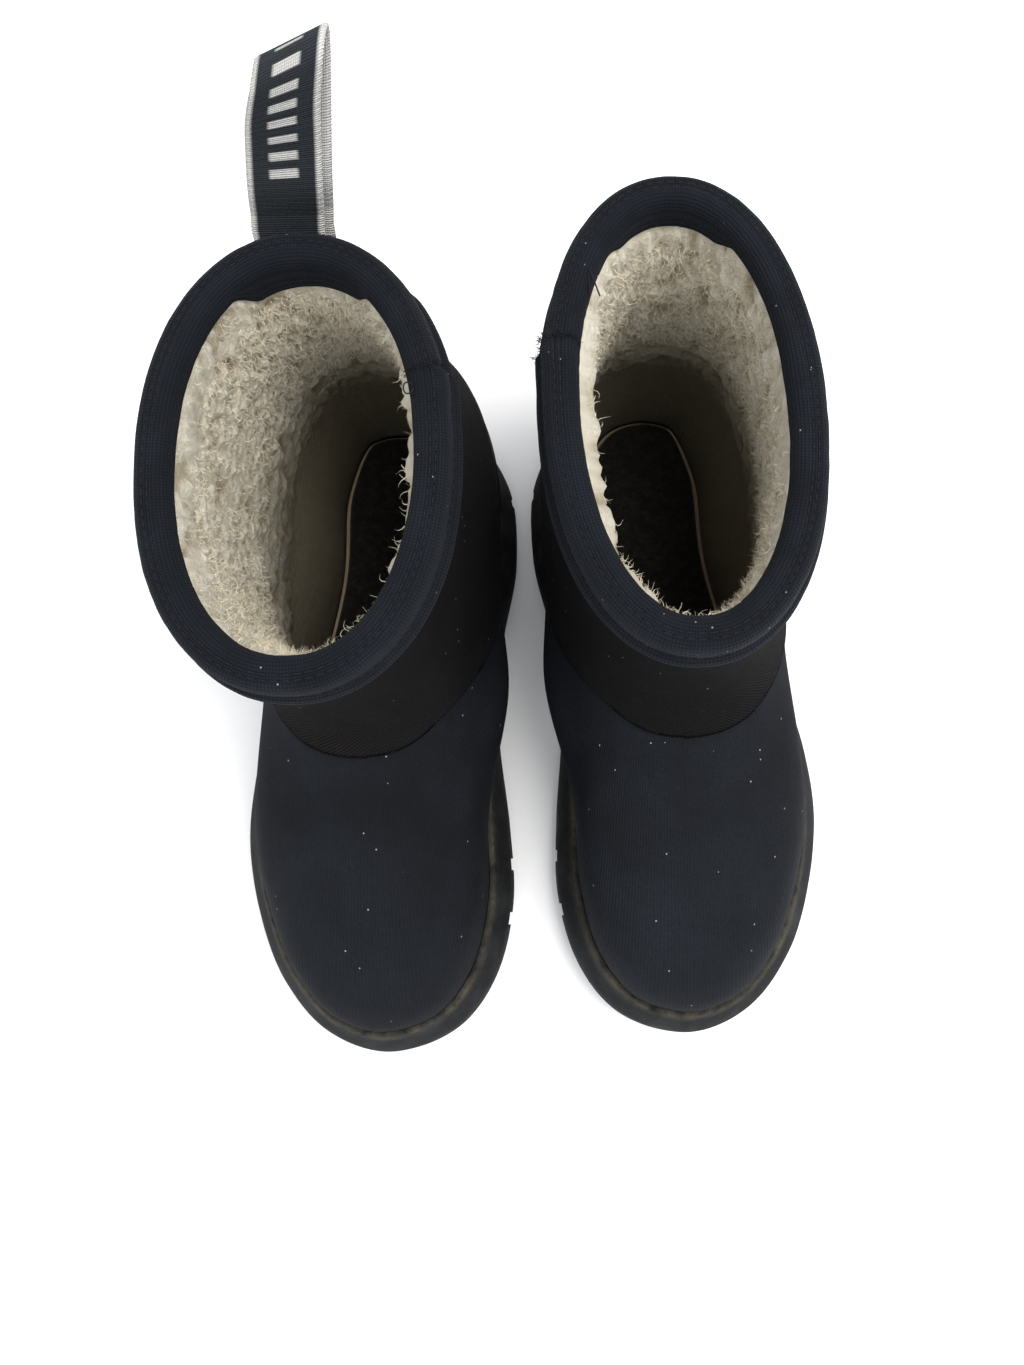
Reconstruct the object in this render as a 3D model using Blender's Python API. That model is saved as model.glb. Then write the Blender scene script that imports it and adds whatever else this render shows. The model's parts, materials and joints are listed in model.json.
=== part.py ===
"""A pair of pull-on winter boots, built as the separate pieces that each boot is sewn and moulded from.

Both boots are described once, in boot coordinates in millimetres: x towards the other boot (medial),
y from the heel back towards the toe, z up from the ground. The pair stands with its toes towards -Y.
"""

import math

import bmesh
import bpy
import numpy as np

MM = 0.001

# ---------------------------------------------------------------- driving dimensions, in millimetres

SOLE_LENGTH = 255.0
COLLAR_HEIGHT = 188.5

# How the pair stands: half the distance between the boots' centre lines, and each boot's turn.
HALF_STANCE = 49.1
TOE_OUT_DEG = 1.13
HEEL_LINE_Y = 127.5
STEP_BETWEEN_HEELS = 2.6
CENTRE_SHIFT = (0.0, -1.6)

# Widest line of the sole, once round from the toe: medial side back to the heel, lateral side forward.
SOLE_OUTLINE = [
    (-1.0, SOLE_LENGTH),
    (24.0, 247.0),
    (38.0, 229.0),
    (44.8, 201.0),
    (43.5, 172.0),
    (39.5, 135.0),
    (42.0, 100.0),
    (47.0, 70.0),
    (44.0, 36.0),
    (24.0, 7.0),
    (0.0, 0.0),
    (-23.0, 8.0),
    (-36.0, 38.0),
    (-38.0, 76.0),
    (-45.5, 113.0),
    (-54.0, 155.0),
    (-55.0, 182.0),
    (-49.5, 207.0),
    (-39.0, 231.0),
    (-23.0, 248.0),
]

# Cup sole: heights, and how far each line is inset from the widest line.
TREAD_INSET = 4.0
TREAD_CHAMFER = 1.6
GROOVE_DEPTH = 3.6
GROOVE_WIDTH = 6.0
GROOVE_PITCH = 17.5
FOREFOOT_GROOVES = (142.0, 5)
HEEL_GROOVES = (24.0, 3)
CUP_FLOOR = 8.0
WIDEST_LOW = 9.0
WIDEST_HIGH = 16.0
LOW_WALL_INSET = 0.8
HIGH_WALL_INSET = 1.0
HIGH_WALL_RISE = 3.0
LIP_HEIGHT = 30.0
LIP_INSET = 6.5
LIP_WIDTH = 2.0
WAIST_Y = 132.0
WAIST_SPREAD = 34.0
WAIST_TUCK = 3.0
WAIST_BULGE = 20.0

# Nicks in the side wall between the outer lugs: side (+1 medial, -1 lateral) and place along the sole.
SIDE_NICKS = [(1, 208.0), (1, 188.0), (1, 43.0), (-1, 180.0), (-1, 207.0), (-1, 43.0)]
NICK_WIDTH = 4.5
NICK_DEPTH = 2.6
NICK_TOP = 13.0

# How far the cutters reach past the sole, below and beside it.
CUT_BELOW = 5.0
CUT_BESIDE = 20.0

# Stack inside the cup.
GAP = 0.3
MIDSOLE_TOP = 19.7
BOARD_THICKNESS = 2.0
FOOTBED_THICKNESS = 5.0
FOOTBED_CLEARANCE = 2.0
FOOTBED_ROUND = 1.0
SHANK = (95.0, 14.0, 1.6)
SHANK_DEPTH = 0.1
SHANK_CENTRE_Y = 92.0

# Layers of the upper, as depths inward from its outer face.
VAMP_THICKNESS = 2.0
STIFFENER = (2.3, 3.6)
FOOT_LINING = (4.0, 8.5)
SHAFT_LINING = (2.3, 5.8)
OVERLAY = (-1.6, -0.3)

# Top line of the vamp, where the shaft begins: a ring that dips forward into the tongue tip.
SEAM_HALF_WIDTH = 42.0
SEAM_CENTRE_X = 0.5
SEAM_EXPONENT = 2.6
SEAM_BACK_Y = 6.0
SEAM_FRONT_Y = 156.0
SEAM_SIDE_Z = 68.0
SEAM_BACK_Z = 84.0
SEAM_FRONT_Z = 88.0
SEAM_BUTT_GAP = 0.2

# Ankle bend controls, and the roundness of the rings.
TOE_RISE = 36.0
SIDE_RISE = 20.0
RING_EXPONENT = 2.15
COLLAR_STRAIGHT = 18.0
COLLAR_LEAN = 20.0
COLLAR_PULL = 32.0
BEND_SHARE = 0.30
BEND_MINIMUM = 6.0

# Ankle ring: its half width and centre as shares of the collar's, half length, centre and height.
ANKLE_WIDTH_SHARE = 0.90
ANKLE_CENTRE_SHARE = 0.5
ANKLE_HALF_LENGTH = 57.0
ANKLE_CENTRE_Y = 80.0
ANKLE_HEIGHT = 132.0

# Collar ring of each boot: half width, half length and centre of the outer face.
COLLARS = {
    "right": (39.2, 62.0, (-5.5, 89.4)),
    "left": (35.5, 65.6, (3.8, 81.6)),
}

# Knit binding: thickness of the folded tape, and how far it reaches down outside and inside.
TAPE = 1.5
BINDING_OUTSIDE = 15.0
BINDING_INSIDE = 9.0
BINDING_SHOULDER = (1.3, 0.3)
BINDING_ROUND = 3.0
STITCH_DROP = 12.0
STITCH_SIZE = 0.7

# Webbing pull loop: sewn down below the binding, free above that. Widths, thickness and lengths of the
# tape, the inner gap at the crest, and where the free part bends back over the collar.
WEB_WIDTH = 21.0
WEB_THICKNESS = 1.3
LOOP_FREE = 62.0
LOOP_GAP = 9.5
LOOP_NECK = 0.5
ROOT_LENGTH = 24.0
HINGE_OFFSET = 1.9
HINGE_CLEARANCE = 1.6
BEND_START = 12.0
BEND_END = 24.0
LOOP_CENTRE_X = {"right": -9.5, "left": 3.8}
LOOP_BEND_DEG = {"right": 19.0, "left": 0.0}
LOOP_TURN_DEG = {"right": 0.0, "left": 172.0}
LOOP_SKEW_DEG = {"right": 12.0, "left": 0.0}
INNER_FOOT_LIFT = 2.0

# Bartack across the root: margin at each side, height above the root's foot, its own height and depth.
TACK_MARGIN = 1.5
TACK_RISE = 5.0
TACK_HEIGHT = 1.8
TACK_DEPTH = 0.7
ROOT_SEARCH = 25.0

COLUMNS = 28
HALF = COLUMNS // 2
TOE_REACH = 5
HEEL_REACH = 5
POLAR_CENTRE_Y = 88.0
END_CROWDING = 0.35

COLOURS = {
    "outsole": ((0.030, 0.031, 0.034), 0.75, 0.0),
    "midsole": ((0.10, 0.10, 0.11), 0.90, 0.0),
    "shank": ((0.35, 0.35, 0.37), 0.40, 0.8),
    "lasting_board": ((0.38, 0.29, 0.20), 0.90, 0.0),
    "footbed": ((0.07, 0.065, 0.055), 0.95, 0.0),
    "vamp": ((0.011, 0.012, 0.020), 0.80, 0.0),
    "heel_overlay": ((0.012, 0.012, 0.014), 0.55, 0.0),
    "heel_counter": ((0.45, 0.43, 0.40), 0.70, 0.0),
    "toe_puff": ((0.45, 0.43, 0.40), 0.70, 0.0),
    "shaft": ((0.017, 0.015, 0.015), 0.90, 0.0),
    "collar_binding": ((0.013, 0.015, 0.024), 0.85, 0.0),
    "collar_stitching": ((0.010, 0.011, 0.016), 0.70, 0.0),
    "shaft_lining": ((0.62, 0.57, 0.44), 1.0, 0.0),
    "foot_lining": ((0.45, 0.40, 0.30), 1.0, 0.0),
    "loop_root": ((0.020, 0.020, 0.024), 0.80, 0.0),
    "loop_bartack": ((0.25, 0.25, 0.25), 0.70, 0.0),
    "pull_loop": ((0.022, 0.024, 0.030), 0.80, 0.0),
}


# ---------------------------------------------------------------- curves

def closed_spline(points, per_span=24):
    """Dense points on a closed centripetal Catmull-Rom curve through the given ones."""
    pts = np.array(points, float)
    count = len(pts)
    dense = []
    for i in range(count):
        p0, p1, p2, p3 = (pts[(i + k) % count] for k in (-1, 0, 1, 2))
        k1 = math.sqrt(np.linalg.norm(p1 - p0))
        k2 = k1 + math.sqrt(np.linalg.norm(p2 - p1))
        k3 = k2 + math.sqrt(np.linalg.norm(p3 - p2))
        for t in np.linspace(k1, k2, per_span, endpoint=False):
            a1 = (k1 - t) / k1 * p0 + t / k1 * p1
            a2 = (k2 - t) / (k2 - k1) * p1 + (t - k1) / (k2 - k1) * p2
            a3 = (k3 - t) / (k3 - k2) * p2 + (t - k2) / (k3 - k2) * p3
            b1 = (k2 - t) / k2 * a1 + t / k2 * a2
            b2 = (k3 - t) / (k3 - k1) * a2 + (t - k1) / (k3 - k1) * a3
            dense.append((k2 - t) / (k2 - k1) * b1 + (t - k1) / (k2 - k1) * b2)
    return np.array(dense)


def column_outline():
    """The sole's widest line at the columns, and the outward normals there. Column 0 is the toe."""
    dense = closed_spline(SOLE_OUTLINE)
    tangent = np.roll(dense, -1, 0) - np.roll(dense, 1, 0)
    tangent /= np.linalg.norm(tangent, axis=1)[:, None]
    normal = np.column_stack([-tangent[:, 1], tangent[:, 0]])
    steps = np.linalg.norm(np.diff(np.vstack([dense, dense[:1]]), axis=0), axis=1)
    arc = np.concatenate([[0.0], np.cumsum(steps)])
    heel = arc[np.argmin(dense[:, 1])]
    u = np.linspace(0.0, 1.0, HALF, endpoint=False)
    share = u - END_CROWDING * np.sin(2 * math.pi * u) / (2 * math.pi)
    wanted = np.concatenate([share * heel, heel + share * (arc[-1] - heel)])
    closed = np.vstack([dense, dense[:1]])
    closed_normal = np.vstack([normal, normal[:1]])
    line = np.column_stack([np.interp(wanted, arc, closed[:, k]) for k in (0, 1)])
    out = np.column_stack([np.interp(wanted, arc, closed_normal[:, k]) for k in (0, 1)])
    return line, out / np.linalg.norm(out, axis=1)[:, None]


LINE, OUT = column_outline()
ANGLE = np.arctan2(LINE[:, 0], LINE[:, 1] - POLAR_CENTRE_Y)


def sole_loop(inset, z):
    """The columns' points on a line that runs round the sole, inset from its widest line."""
    plan = LINE - np.broadcast_to(inset, COLUMNS)[:, None] * OUT
    return np.column_stack([plan, np.full(COLUMNS, z)])


WAIST = np.exp(-(((LINE[:, 1] - WAIST_Y) / WAIST_SPREAD) ** 2)) * (LINE[:, 0] > 0)
LIP = LIP_INSET - WAIST_TUCK * WAIST
CUP_WALL = LIP + LIP_WIDTH


def ring(half_width, half_length, centre, z, n=RING_EXPONENT):
    """The columns' points on an upright superellipse ring; z may differ from column to column."""
    s, c = np.sin(ANGLE), np.cos(ANGLE)
    radius = ((abs(s) / half_width) ** n + (abs(c) / half_length) ** n) ** (-1 / n)
    x = centre[0] + radius * s
    y = centre[1] + radius * c
    return np.column_stack([x, y, np.broadcast_to(z, COLUMNS)])


def bezier(p0, p1, p2, p3, t):
    return (1 - t) ** 3 * p0 + 3 * t * (1 - t) ** 2 * p1 + 3 * t**2 * (1 - t) * p2 + t**3 * p3


def unit(v):
    return v / np.linalg.norm(v, axis=-1, keepdims=True)


# ---------------------------------------------------------------- the upper's outer face

VAMP_STEPS = (0.2, 0.4, 0.6, 0.8)
SHAFT_STEPS = (0.36, 0.70)


def upper_face(side):
    """Outer face of one boot's upper as rows of column points, from inside the cup to the collar.

    Returns the rows, the outward normals, and the index of the seam row between vamp and shaft.
    """
    half_width, half_length, centre = COLLARS[side]
    front = (1 + np.cos(ANGLE)) / 2
    seam_centre = (SEAM_CENTRE_X, (SEAM_FRONT_Y + SEAM_BACK_Y) / 2)
    seam_z = SEAM_SIDE_Z + (SEAM_FRONT_Z - SEAM_SIDE_Z) * np.clip(np.cos(ANGLE), 0, 1) ** 4
    seam_z += (SEAM_BACK_Z - SEAM_SIDE_Z) * np.clip(-np.cos(ANGLE), 0, 1) ** 2
    seam_length = (SEAM_FRONT_Y - SEAM_BACK_Y) / 2
    seam = ring(SEAM_HALF_WIDTH, seam_length, seam_centre, seam_z, SEAM_EXPONENT)
    bottom = sole_loop(CUP_WALL + GAP, MIDSOLE_TOP + GAP)
    lip = sole_loop(CUP_WALL + GAP, LIP_HEIGHT)
    collar = ring(half_width, half_length, centre, COLLAR_HEIGHT - TAPE - GAP)

    rise = SIDE_RISE + (TOE_RISE - SIDE_RISE) * front**2
    lip_handle = lip + np.column_stack([WAIST_BULGE * WAIST, 0 * rise, rise])
    ankle_centre = (centre[0] * ANKLE_CENTRE_SHARE, ANKLE_CENTRE_Y)
    ankle = ring(half_width * ANKLE_WIDTH_SHARE, ANKLE_HALF_LENGTH, ankle_centre, ANKLE_HEIGHT)
    seam_run = unit(ankle - lip_handle)
    reach = BEND_SHARE * np.linalg.norm(seam - lip_handle, axis=1, keepdims=True) + BEND_MINIMUM
    seam_low_handle = seam - reach * seam_run
    reach = BEND_SHARE * np.linalg.norm(ankle - seam, axis=1, keepdims=True)
    seam_high_handle = seam + reach * seam_run
    flare = unit(collar - ankle + np.array([0.0, 0.0, COLLAR_LEAN]))
    straight = collar - COLLAR_STRAIGHT * flare
    collar_handle = straight - COLLAR_PULL * flare

    rows = [bottom, lip]
    rows += [bezier(lip, lip_handle, seam_low_handle, seam, t) for t in VAMP_STEPS]
    seam_row = len(rows)
    rows.append(seam)
    rows += [bezier(seam, seam_high_handle, collar_handle, straight, t) for t in SHAFT_STEPS]
    rows += [straight, collar]
    rows = np.array(rows)

    along = np.gradient(rows, axis=0)
    around = np.roll(rows, -1, axis=1) - np.roll(rows, 1, axis=1)
    normals = unit(np.cross(along, around))
    flat = np.column_stack([OUT, np.zeros(COLUMNS)])
    normals[0] = flat
    normals[1] = flat
    normals[-1] = normals[-2]
    return rows, normals, seam_row


# ---------------------------------------------------------------- meshes

def make_object(name, vertices, faces, side, parent, origin=(0.0, 0.0, 0.0)):
    """One named mesh object from boot coordinates, under its boot's empty."""
    flip = 1.0 if side == "right" else -1.0
    base = np.array(origin, float)
    mesh = bpy.data.meshes.new(name)
    body = bmesh.new()
    verts = []
    for x, y, z in np.array(vertices, float) - base:
        verts.append(body.verts.new((flip * x * MM, -y * MM, z * MM)))
    for face in faces:
        body.faces.new([verts[i] for i in face])
    bmesh.ops.recalc_face_normals(body, faces=body.faces)
    body.to_mesh(mesh)
    body.free()
    obj = bpy.data.objects.new(name, mesh)
    obj.location = (flip * base[0] * MM, -base[1] * MM, base[2] * MM)
    obj.parent = parent
    bpy.context.scene.collection.objects.link(obj)
    piece = name.split("_", 1)[1]
    if piece in COLOURS:
        mesh.materials.append(material(piece))
    mesh.shade_smooth()
    mesh.set_sharp_from_angle(angle=math.radians(40))
    return obj


def material(piece):
    """The piece's Principled material, shared by both boots."""
    found = bpy.data.materials.get(piece)
    if found:
        return found
    colour, roughness, metallic = COLOURS[piece]
    made = bpy.data.materials.new(piece)
    made.use_nodes = True
    shader = made.node_tree.nodes["Principled BSDF"]
    shader.inputs["Base Color"].default_value = (*colour, 1.0)
    shader.inputs["Roughness"].default_value = roughness
    shader.inputs["Metallic"].default_value = metallic
    return made


def loft(loops, closed_profile=False):
    """Vertices and faces of a stack of closed loops: capped at both ends, or joined last to first."""
    count = len(loops[0])
    vertices = [p for loop in loops for p in loop]
    faces = []
    last = len(loops) if closed_profile else len(loops) - 1
    for k in range(last):
        a = k * count
        b = (k + 1) % len(loops) * count
        for i in range(count):
            j = (i + 1) % count
            faces.append((a + i, a + j, b + j, b + i))
    if not closed_profile:
        faces.append(tuple(reversed(range(count))))
        top = (len(loops) - 1) * count
        faces.append(tuple(top + i for i in range(count)))
    return vertices, faces


def wall(rows, normals, depths, columns=None):
    """A closed wall between two depths of the upper's face, all the way round or over some columns.

    Every layer splits its quads along the same diagonal, so neighbouring layers stay parallel.
    """
    cyclic = columns is None
    picked = [c % COLUMNS for c in (range(COLUMNS) if cyclic else columns)]
    width, height = len(picked), len(rows)
    outer = [(r - depths[0] * n)[picked] for r, n in zip(rows, normals)]
    inner = [(r - depths[1] * n)[picked] for r, n in zip(rows, normals)]
    vertices = [p for loop in outer + inner for p in loop]
    back = width * height
    faces = []
    for i in range(width if cyclic else width - 1):
        j = (i + 1) % width
        for k in range(height - 1):
            low, high = k * width, (k + 1) * width
            for layer in (0, back):
                faces.append((layer + low + i, layer + low + j, layer + high + j))
                faces.append((layer + low + i, layer + high + j, layer + high + i))
        for k in (0, (height - 1) * width):
            faces.append((k + i, k + j, back + k + j, back + k + i))
    if not cyclic:
        for i in (0, width - 1):
            for k in range(height - 1):
                low, high = k * width + i, (k + 1) * width + i
                faces.append((low, high, back + high, back + low))
    return vertices, faces


def box_corners(low, high):
    """The eight corners of a box in boot coordinates, and its six faces."""
    corners = [(x, y, z) for z in (low[2], high[2]) for y in (low[1], high[1]) for x in (low[0], high[0])]
    faces = [(0, 1, 3, 2), (4, 5, 7, 6), (0, 1, 5, 4), (2, 3, 7, 6), (0, 2, 6, 4), (1, 3, 7, 5)]
    return corners, faces


def joined(shapes):
    """Several shapes' vertices and faces as one list of each."""
    vertices, faces = [], []
    for v, f in shapes:
        start = len(vertices)
        vertices += list(v)
        faces += [tuple(start + i for i in face) for face in f]
    return vertices, faces


def cut(obj, name, shape, side, parent):
    """Takes a hidden cutter's volume off an object."""
    cutter = make_object(f"{obj.name}_{name}", *shape, side, parent)
    cutter.hide_render = True
    cutter.display_type = "WIRE"
    modifier = obj.modifiers.new(name, "BOOLEAN")
    modifier.operation = "DIFFERENCE"
    modifier.solver = "EXACT"
    modifier.object = cutter


# ---------------------------------------------------------------- sole

def edge_x(direction, y):
    """Where the sole's widest line crosses y on its medial (+1) or lateral (-1) side."""
    side = LINE[LINE[:, 0] * direction > 0]
    side = side[np.argsort(side[:, 1])]
    return np.interp(y, side[:, 1], side[:, 0])


def make_outsole(side, parent):
    """The rubber cup: tread, flared side wall, lip, and the hollow that the midsole fills."""
    loops = [
        sole_loop(TREAD_INSET + TREAD_CHAMFER, 0.0),
        sole_loop(TREAD_INSET, TREAD_CHAMFER),
        sole_loop(LOW_WALL_INSET, WIDEST_LOW),
        sole_loop(0.0, (WIDEST_LOW + WIDEST_HIGH) / 2),
        sole_loop(HIGH_WALL_INSET, WIDEST_HIGH + HIGH_WALL_RISE),
        sole_loop(LIP, LIP_HEIGHT),
        sole_loop(CUP_WALL, LIP_HEIGHT),
        sole_loop(CUP_WALL, CUP_FLOOR),
    ]
    outsole = make_object(f"{side}_outsole", *loft(loops), side, parent)
    grooves = []
    for start, count in (FOREFOOT_GROOVES, HEEL_GROOVES):
        for k in range(count):
            y = start + k * GROOVE_PITCH
            reach = HALF_STANCE + CUT_BESIDE
            low = (-reach, y - GROOVE_WIDTH / 2, -CUT_BELOW)
            high = (reach, y + GROOVE_WIDTH / 2, GROOVE_DEPTH)
            grooves.append(box_corners(low, high))
    for direction, y in SIDE_NICKS:
        x = edge_x(direction, y)
        low_x, high_x = sorted((x - direction * NICK_DEPTH, x + direction * CUT_BESIDE))
        low = (low_x, y - NICK_WIDTH / 2, -CUT_BELOW)
        high = (high_x, y + NICK_WIDTH / 2, NICK_TOP)
        grooves.append(box_corners(low, high))
    cut(outsole, "grooves", joined(grooves), side, parent)


def make_sole_stack(side, parent):
    """Midsole foam with its shank, the lasting board, and the loose footbed."""
    edge = CUP_WALL + GAP
    top = MIDSOLE_TOP
    loops = [sole_loop(edge, CUP_FLOOR + GAP), sole_loop(edge, top)]
    midsole = make_object(f"{side}_midsole", *loft(loops), side, parent)
    length, width, thickness = SHANK
    shank_low = (-width / 2, SHANK_CENTRE_Y - length / 2, top - thickness - SHANK_DEPTH)
    shank_high = (width / 2, SHANK_CENTRE_Y + length / 2, top - SHANK_DEPTH)
    room_low = [c - GAP for c in shank_low]
    room_high = (shank_high[0] + GAP, shank_high[1] + GAP, top + CUT_BELOW)
    room = box_corners(room_low, room_high)
    cut(midsole, "shank_slot", room, side, parent)
    make_object(f"{side}_shank", *box_corners(shank_low, shank_high), side, parent)

    board_inset = edge + VAMP_THICKNESS + GAP
    board_low = top + GAP
    board_high = board_low + BOARD_THICKNESS
    board = [sole_loop(board_inset, board_low), sole_loop(board_inset, board_high)]
    make_object(f"{side}_lasting_board", *loft(board), side, parent)

    bed_inset = edge + FOOT_LINING[1] + FOOTBED_CLEARANCE
    bed_low = board_high + GAP
    bed = [
        sole_loop(bed_inset + FOOTBED_ROUND, bed_low),
        sole_loop(bed_inset, bed_low + FOOTBED_ROUND),
        sole_loop(bed_inset, bed_low + FOOTBED_THICKNESS - FOOTBED_ROUND),
        sole_loop(bed_inset + FOOTBED_ROUND, bed_low + FOOTBED_THICKNESS),
    ]
    hinge = (0.0, bed[1][0][1] + GAP, bed_low)
    make_object(f"{side}_footbed", *loft(bed), side, parent, origin=hinge)


# ---------------------------------------------------------------- upper

def raised_start(rows, z):
    """The rows with the lowest one lifted to a height, for layers that stand on the lasting board."""
    lifted = rows.copy()
    lifted[0, :, 2] = z
    return lifted


def make_upper(side, parent, rows, normals, seam_row):
    """Vamp, shaft, stiffeners, heel panel and the two linings."""
    board_top = MIDSOLE_TOP + GAP + BOARD_THICKNESS + GAP
    stood = raised_start(rows, board_top)
    below, above = slice(0, seam_row + 1), slice(seam_row, len(rows))

    def trimmed(part, amount):
        """Rows of a slice whose end at the seam row is drawn back to leave the butt gap."""
        picked = part.copy()
        if amount > 0:
            run = unit(picked[1] - picked[0])
            picked[0] = picked[0] + amount * run
        else:
            run = unit(picked[-2] - picked[-1])
            picked[-1] = picked[-1] - amount * run
        return picked

    vamp = trimmed(rows[below], -SEAM_BUTT_GAP)
    make_object(f"{side}_vamp", *wall(vamp, normals[below], (0.0, VAMP_THICKNESS)), side, parent)
    shaft = trimmed(rows[above], SEAM_BUTT_GAP)
    make_object(f"{side}_shaft", *wall(shaft, normals[above], (0.0, VAMP_THICKNESS)), side, parent)
    foot = trimmed(stood[below], -SEAM_BUTT_GAP)
    make_object(f"{side}_foot_lining", *wall(foot, normals[below], FOOT_LINING), side, parent)
    make_object(f"{side}_shaft_lining", *wall(shaft, normals[above], SHAFT_LINING), side, parent)

    toe_columns = range(-TOE_REACH, TOE_REACH + 1)
    toe_rows = slice(0, 5)
    puff = wall(stood[toe_rows], normals[toe_rows], STIFFENER, toe_columns)
    make_object(f"{side}_toe_puff", *puff, side, parent)
    heel_columns = range(HALF - HEEL_REACH, HALF + HEEL_REACH + 1)
    heel_rows = slice(0, seam_row)
    counter = wall(stood[heel_rows], normals[heel_rows], STIFFENER, heel_columns)
    make_object(f"{side}_heel_counter", *counter, side, parent)
    outside_rows = rows[1:seam_row].copy()
    outside_rows[0, :, 2] += GAP
    overlay = wall(outside_rows, normals[1:seam_row], OVERLAY, heel_columns)
    make_object(f"{side}_heel_overlay", *overlay, side, parent)


def make_collar(side, parent, rows, normals):
    """The folded tape over the top edge, and its stitch line."""
    top = rows[-1]
    normal = normals[-1]
    up = unit(rows[-1] - rows[-2])
    outside, inside = -TAPE - GAP, SHAFT_LINING[1] + TAPE + GAP
    crown = TAPE + GAP
    across, down = BINDING_SHOULDER
    section = [
        (outside, -BINDING_OUTSIDE),
        (outside, 0.0),
        (outside + across, crown - down),
        (outside + BINDING_ROUND, crown),
        (inside - BINDING_ROUND, crown),
        (inside - across, crown - down),
        (inside, 0.0),
        (inside, -BINDING_INSIDE),
        (inside - TAPE, -BINDING_INSIDE),
        (inside - TAPE, GAP),
        (-GAP, GAP),
        (-GAP, -BINDING_OUTSIDE),
    ]
    loops = [top - depth * normal + height * up for depth, height in section]
    binding = loft(loops, closed_profile=True)
    make_object(f"{side}_collar_binding", *binding, side, parent)

    near, far = outside - GAP, outside - GAP - STITCH_SIZE
    low, high = -STITCH_DROP - STITCH_SIZE / 2, -STITCH_DROP + STITCH_SIZE / 2
    thread = [top - depth * normal + height * up for depth, height in
              ((near, low), (far, low), (far, high), (near, high))]
    make_object(f"{side}_collar_stitching", *loft(thread, closed_profile=True), side, parent)


# ---------------------------------------------------------------- pull loop

def loop_outline(inset):
    """One face of the free loop seen from the side, from its toe-side foot over the crest and down."""
    crest_radius = LOOP_GAP / 2 + WEB_THICKNESS
    stem = WEB_THICKNESS + LOOP_NECK / 2 - inset
    foot = HINGE_CLEARANCE + (INNER_FOOT_LIFT if inset else 0.0)
    centre_z = LOOP_FREE - crest_radius
    stations = [(stem, foot)] + [(stem, z) for z in (BEND_START, (BEND_START + BEND_END) / 2, BEND_END)]
    crest = [math.radians(a) for a in range(-15, 196, 30)]
    radius = crest_radius - inset
    arc = [(radius * math.cos(a), centre_z + radius * math.sin(a)) for a in crest]
    return stations + arc + [(-y, z) for y, z in reversed(stations)]


def bent(y, z, angle_deg):
    """A point of the straight loop once the tape is bent back between the two bend heights."""
    angle = math.radians(angle_deg)
    run = BEND_END - BEND_START
    share = min(max((z - BEND_START) / run, 0.0), 1.0)
    turn = share * angle
    centre_y, centre_z = 0.0, min(z, BEND_START)
    if angle and share > 0:
        radius = run / angle
        centre_y -= radius * (1 - math.cos(turn))
        centre_z += radius * math.sin(turn)
    elif share > 0:
        centre_z += share * run
    past = max(z - BEND_END, 0.0)
    centre_y -= past * math.sin(turn)
    centre_z += past * math.cos(turn)
    return centre_y + y * math.cos(turn), centre_z + y * math.sin(turn)


def loop_points(side, hinge):
    """The free loop's four outlines in boot coordinates: outer and inner face, one edge then the other."""
    turn = math.radians(LOOP_TURN_DEG[side])
    skew = math.tan(math.radians(LOOP_SKEW_DEG[side]))
    points = []
    for edge in (-WEB_WIDTH / 2, WEB_WIDTH / 2):
        for inset in (0.0, WEB_THICKNESS):
            for flat_y, flat_z in loop_outline(inset):
                y, z = bent(flat_y, flat_z, LOOP_BEND_DEG[side])
                x = edge + max(z - BEND_START, 0.0) * skew
                turned_y = y * math.cos(turn) - z * math.sin(turn)
                turned_z = z * math.cos(turn) + y * math.sin(turn)
                points.append((hinge[0] + x, hinge[1] + turned_y, hinge[2] + turned_z))
    return points


def make_loop(side, parent, rows, normals):
    """Root sewn down below the binding, its bartack, and the free loop that turns on the root's top edge."""
    x = LOOP_CENTRE_X[side]
    half = WEB_WIDTH / 2
    root_top = rows[-1][HALF][2] - BINDING_OUTSIDE - GAP
    root_low = root_top - ROOT_LENGTH
    behind = rows[:, HALF, 1][(rows[:, HALF, 2] > root_low - ROOT_SEARCH)]
    root_front = behind.min() - GAP
    root_back = root_front - 2 * WEB_THICKNESS - LOOP_NECK
    root = box_corners((x - half, root_back, root_low), (x + half, root_front, root_top))
    make_object(f"{side}_loop_root", *root, side, parent)
    tack_z = root_low + TACK_RISE
    tack = box_corners(
        (x - half + TACK_MARGIN, root_back - GAP - TACK_DEPTH, tack_z),
        (x + half - TACK_MARGIN, root_back - GAP, tack_z + TACK_HEIGHT),
    )
    make_object(f"{side}_loop_bartack", *tack, side, parent)

    hinge = (x, root_back - HINGE_OFFSET, root_top)
    vertices = loop_points(side, hinge)
    count = len(vertices) // 4
    outer_left, inner_left, outer_right, inner_right = (k * count for k in range(4))
    faces = []
    for i in range(count):
        j = (i + 1) % count
        faces.append((outer_left + i, outer_left + j, outer_right + j, outer_right + i))
        faces.append((inner_left + i, inner_left + j, inner_right + j, inner_right + i))
        faces.append((outer_left + i, outer_left + j, inner_left + j, inner_left + i))
        faces.append((outer_right + i, outer_right + j, inner_right + j, inner_right + i))
    make_object(f"{side}_pull_loop", vertices, faces, side, parent, origin=hinge)


# ---------------------------------------------------------------- the pair

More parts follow.
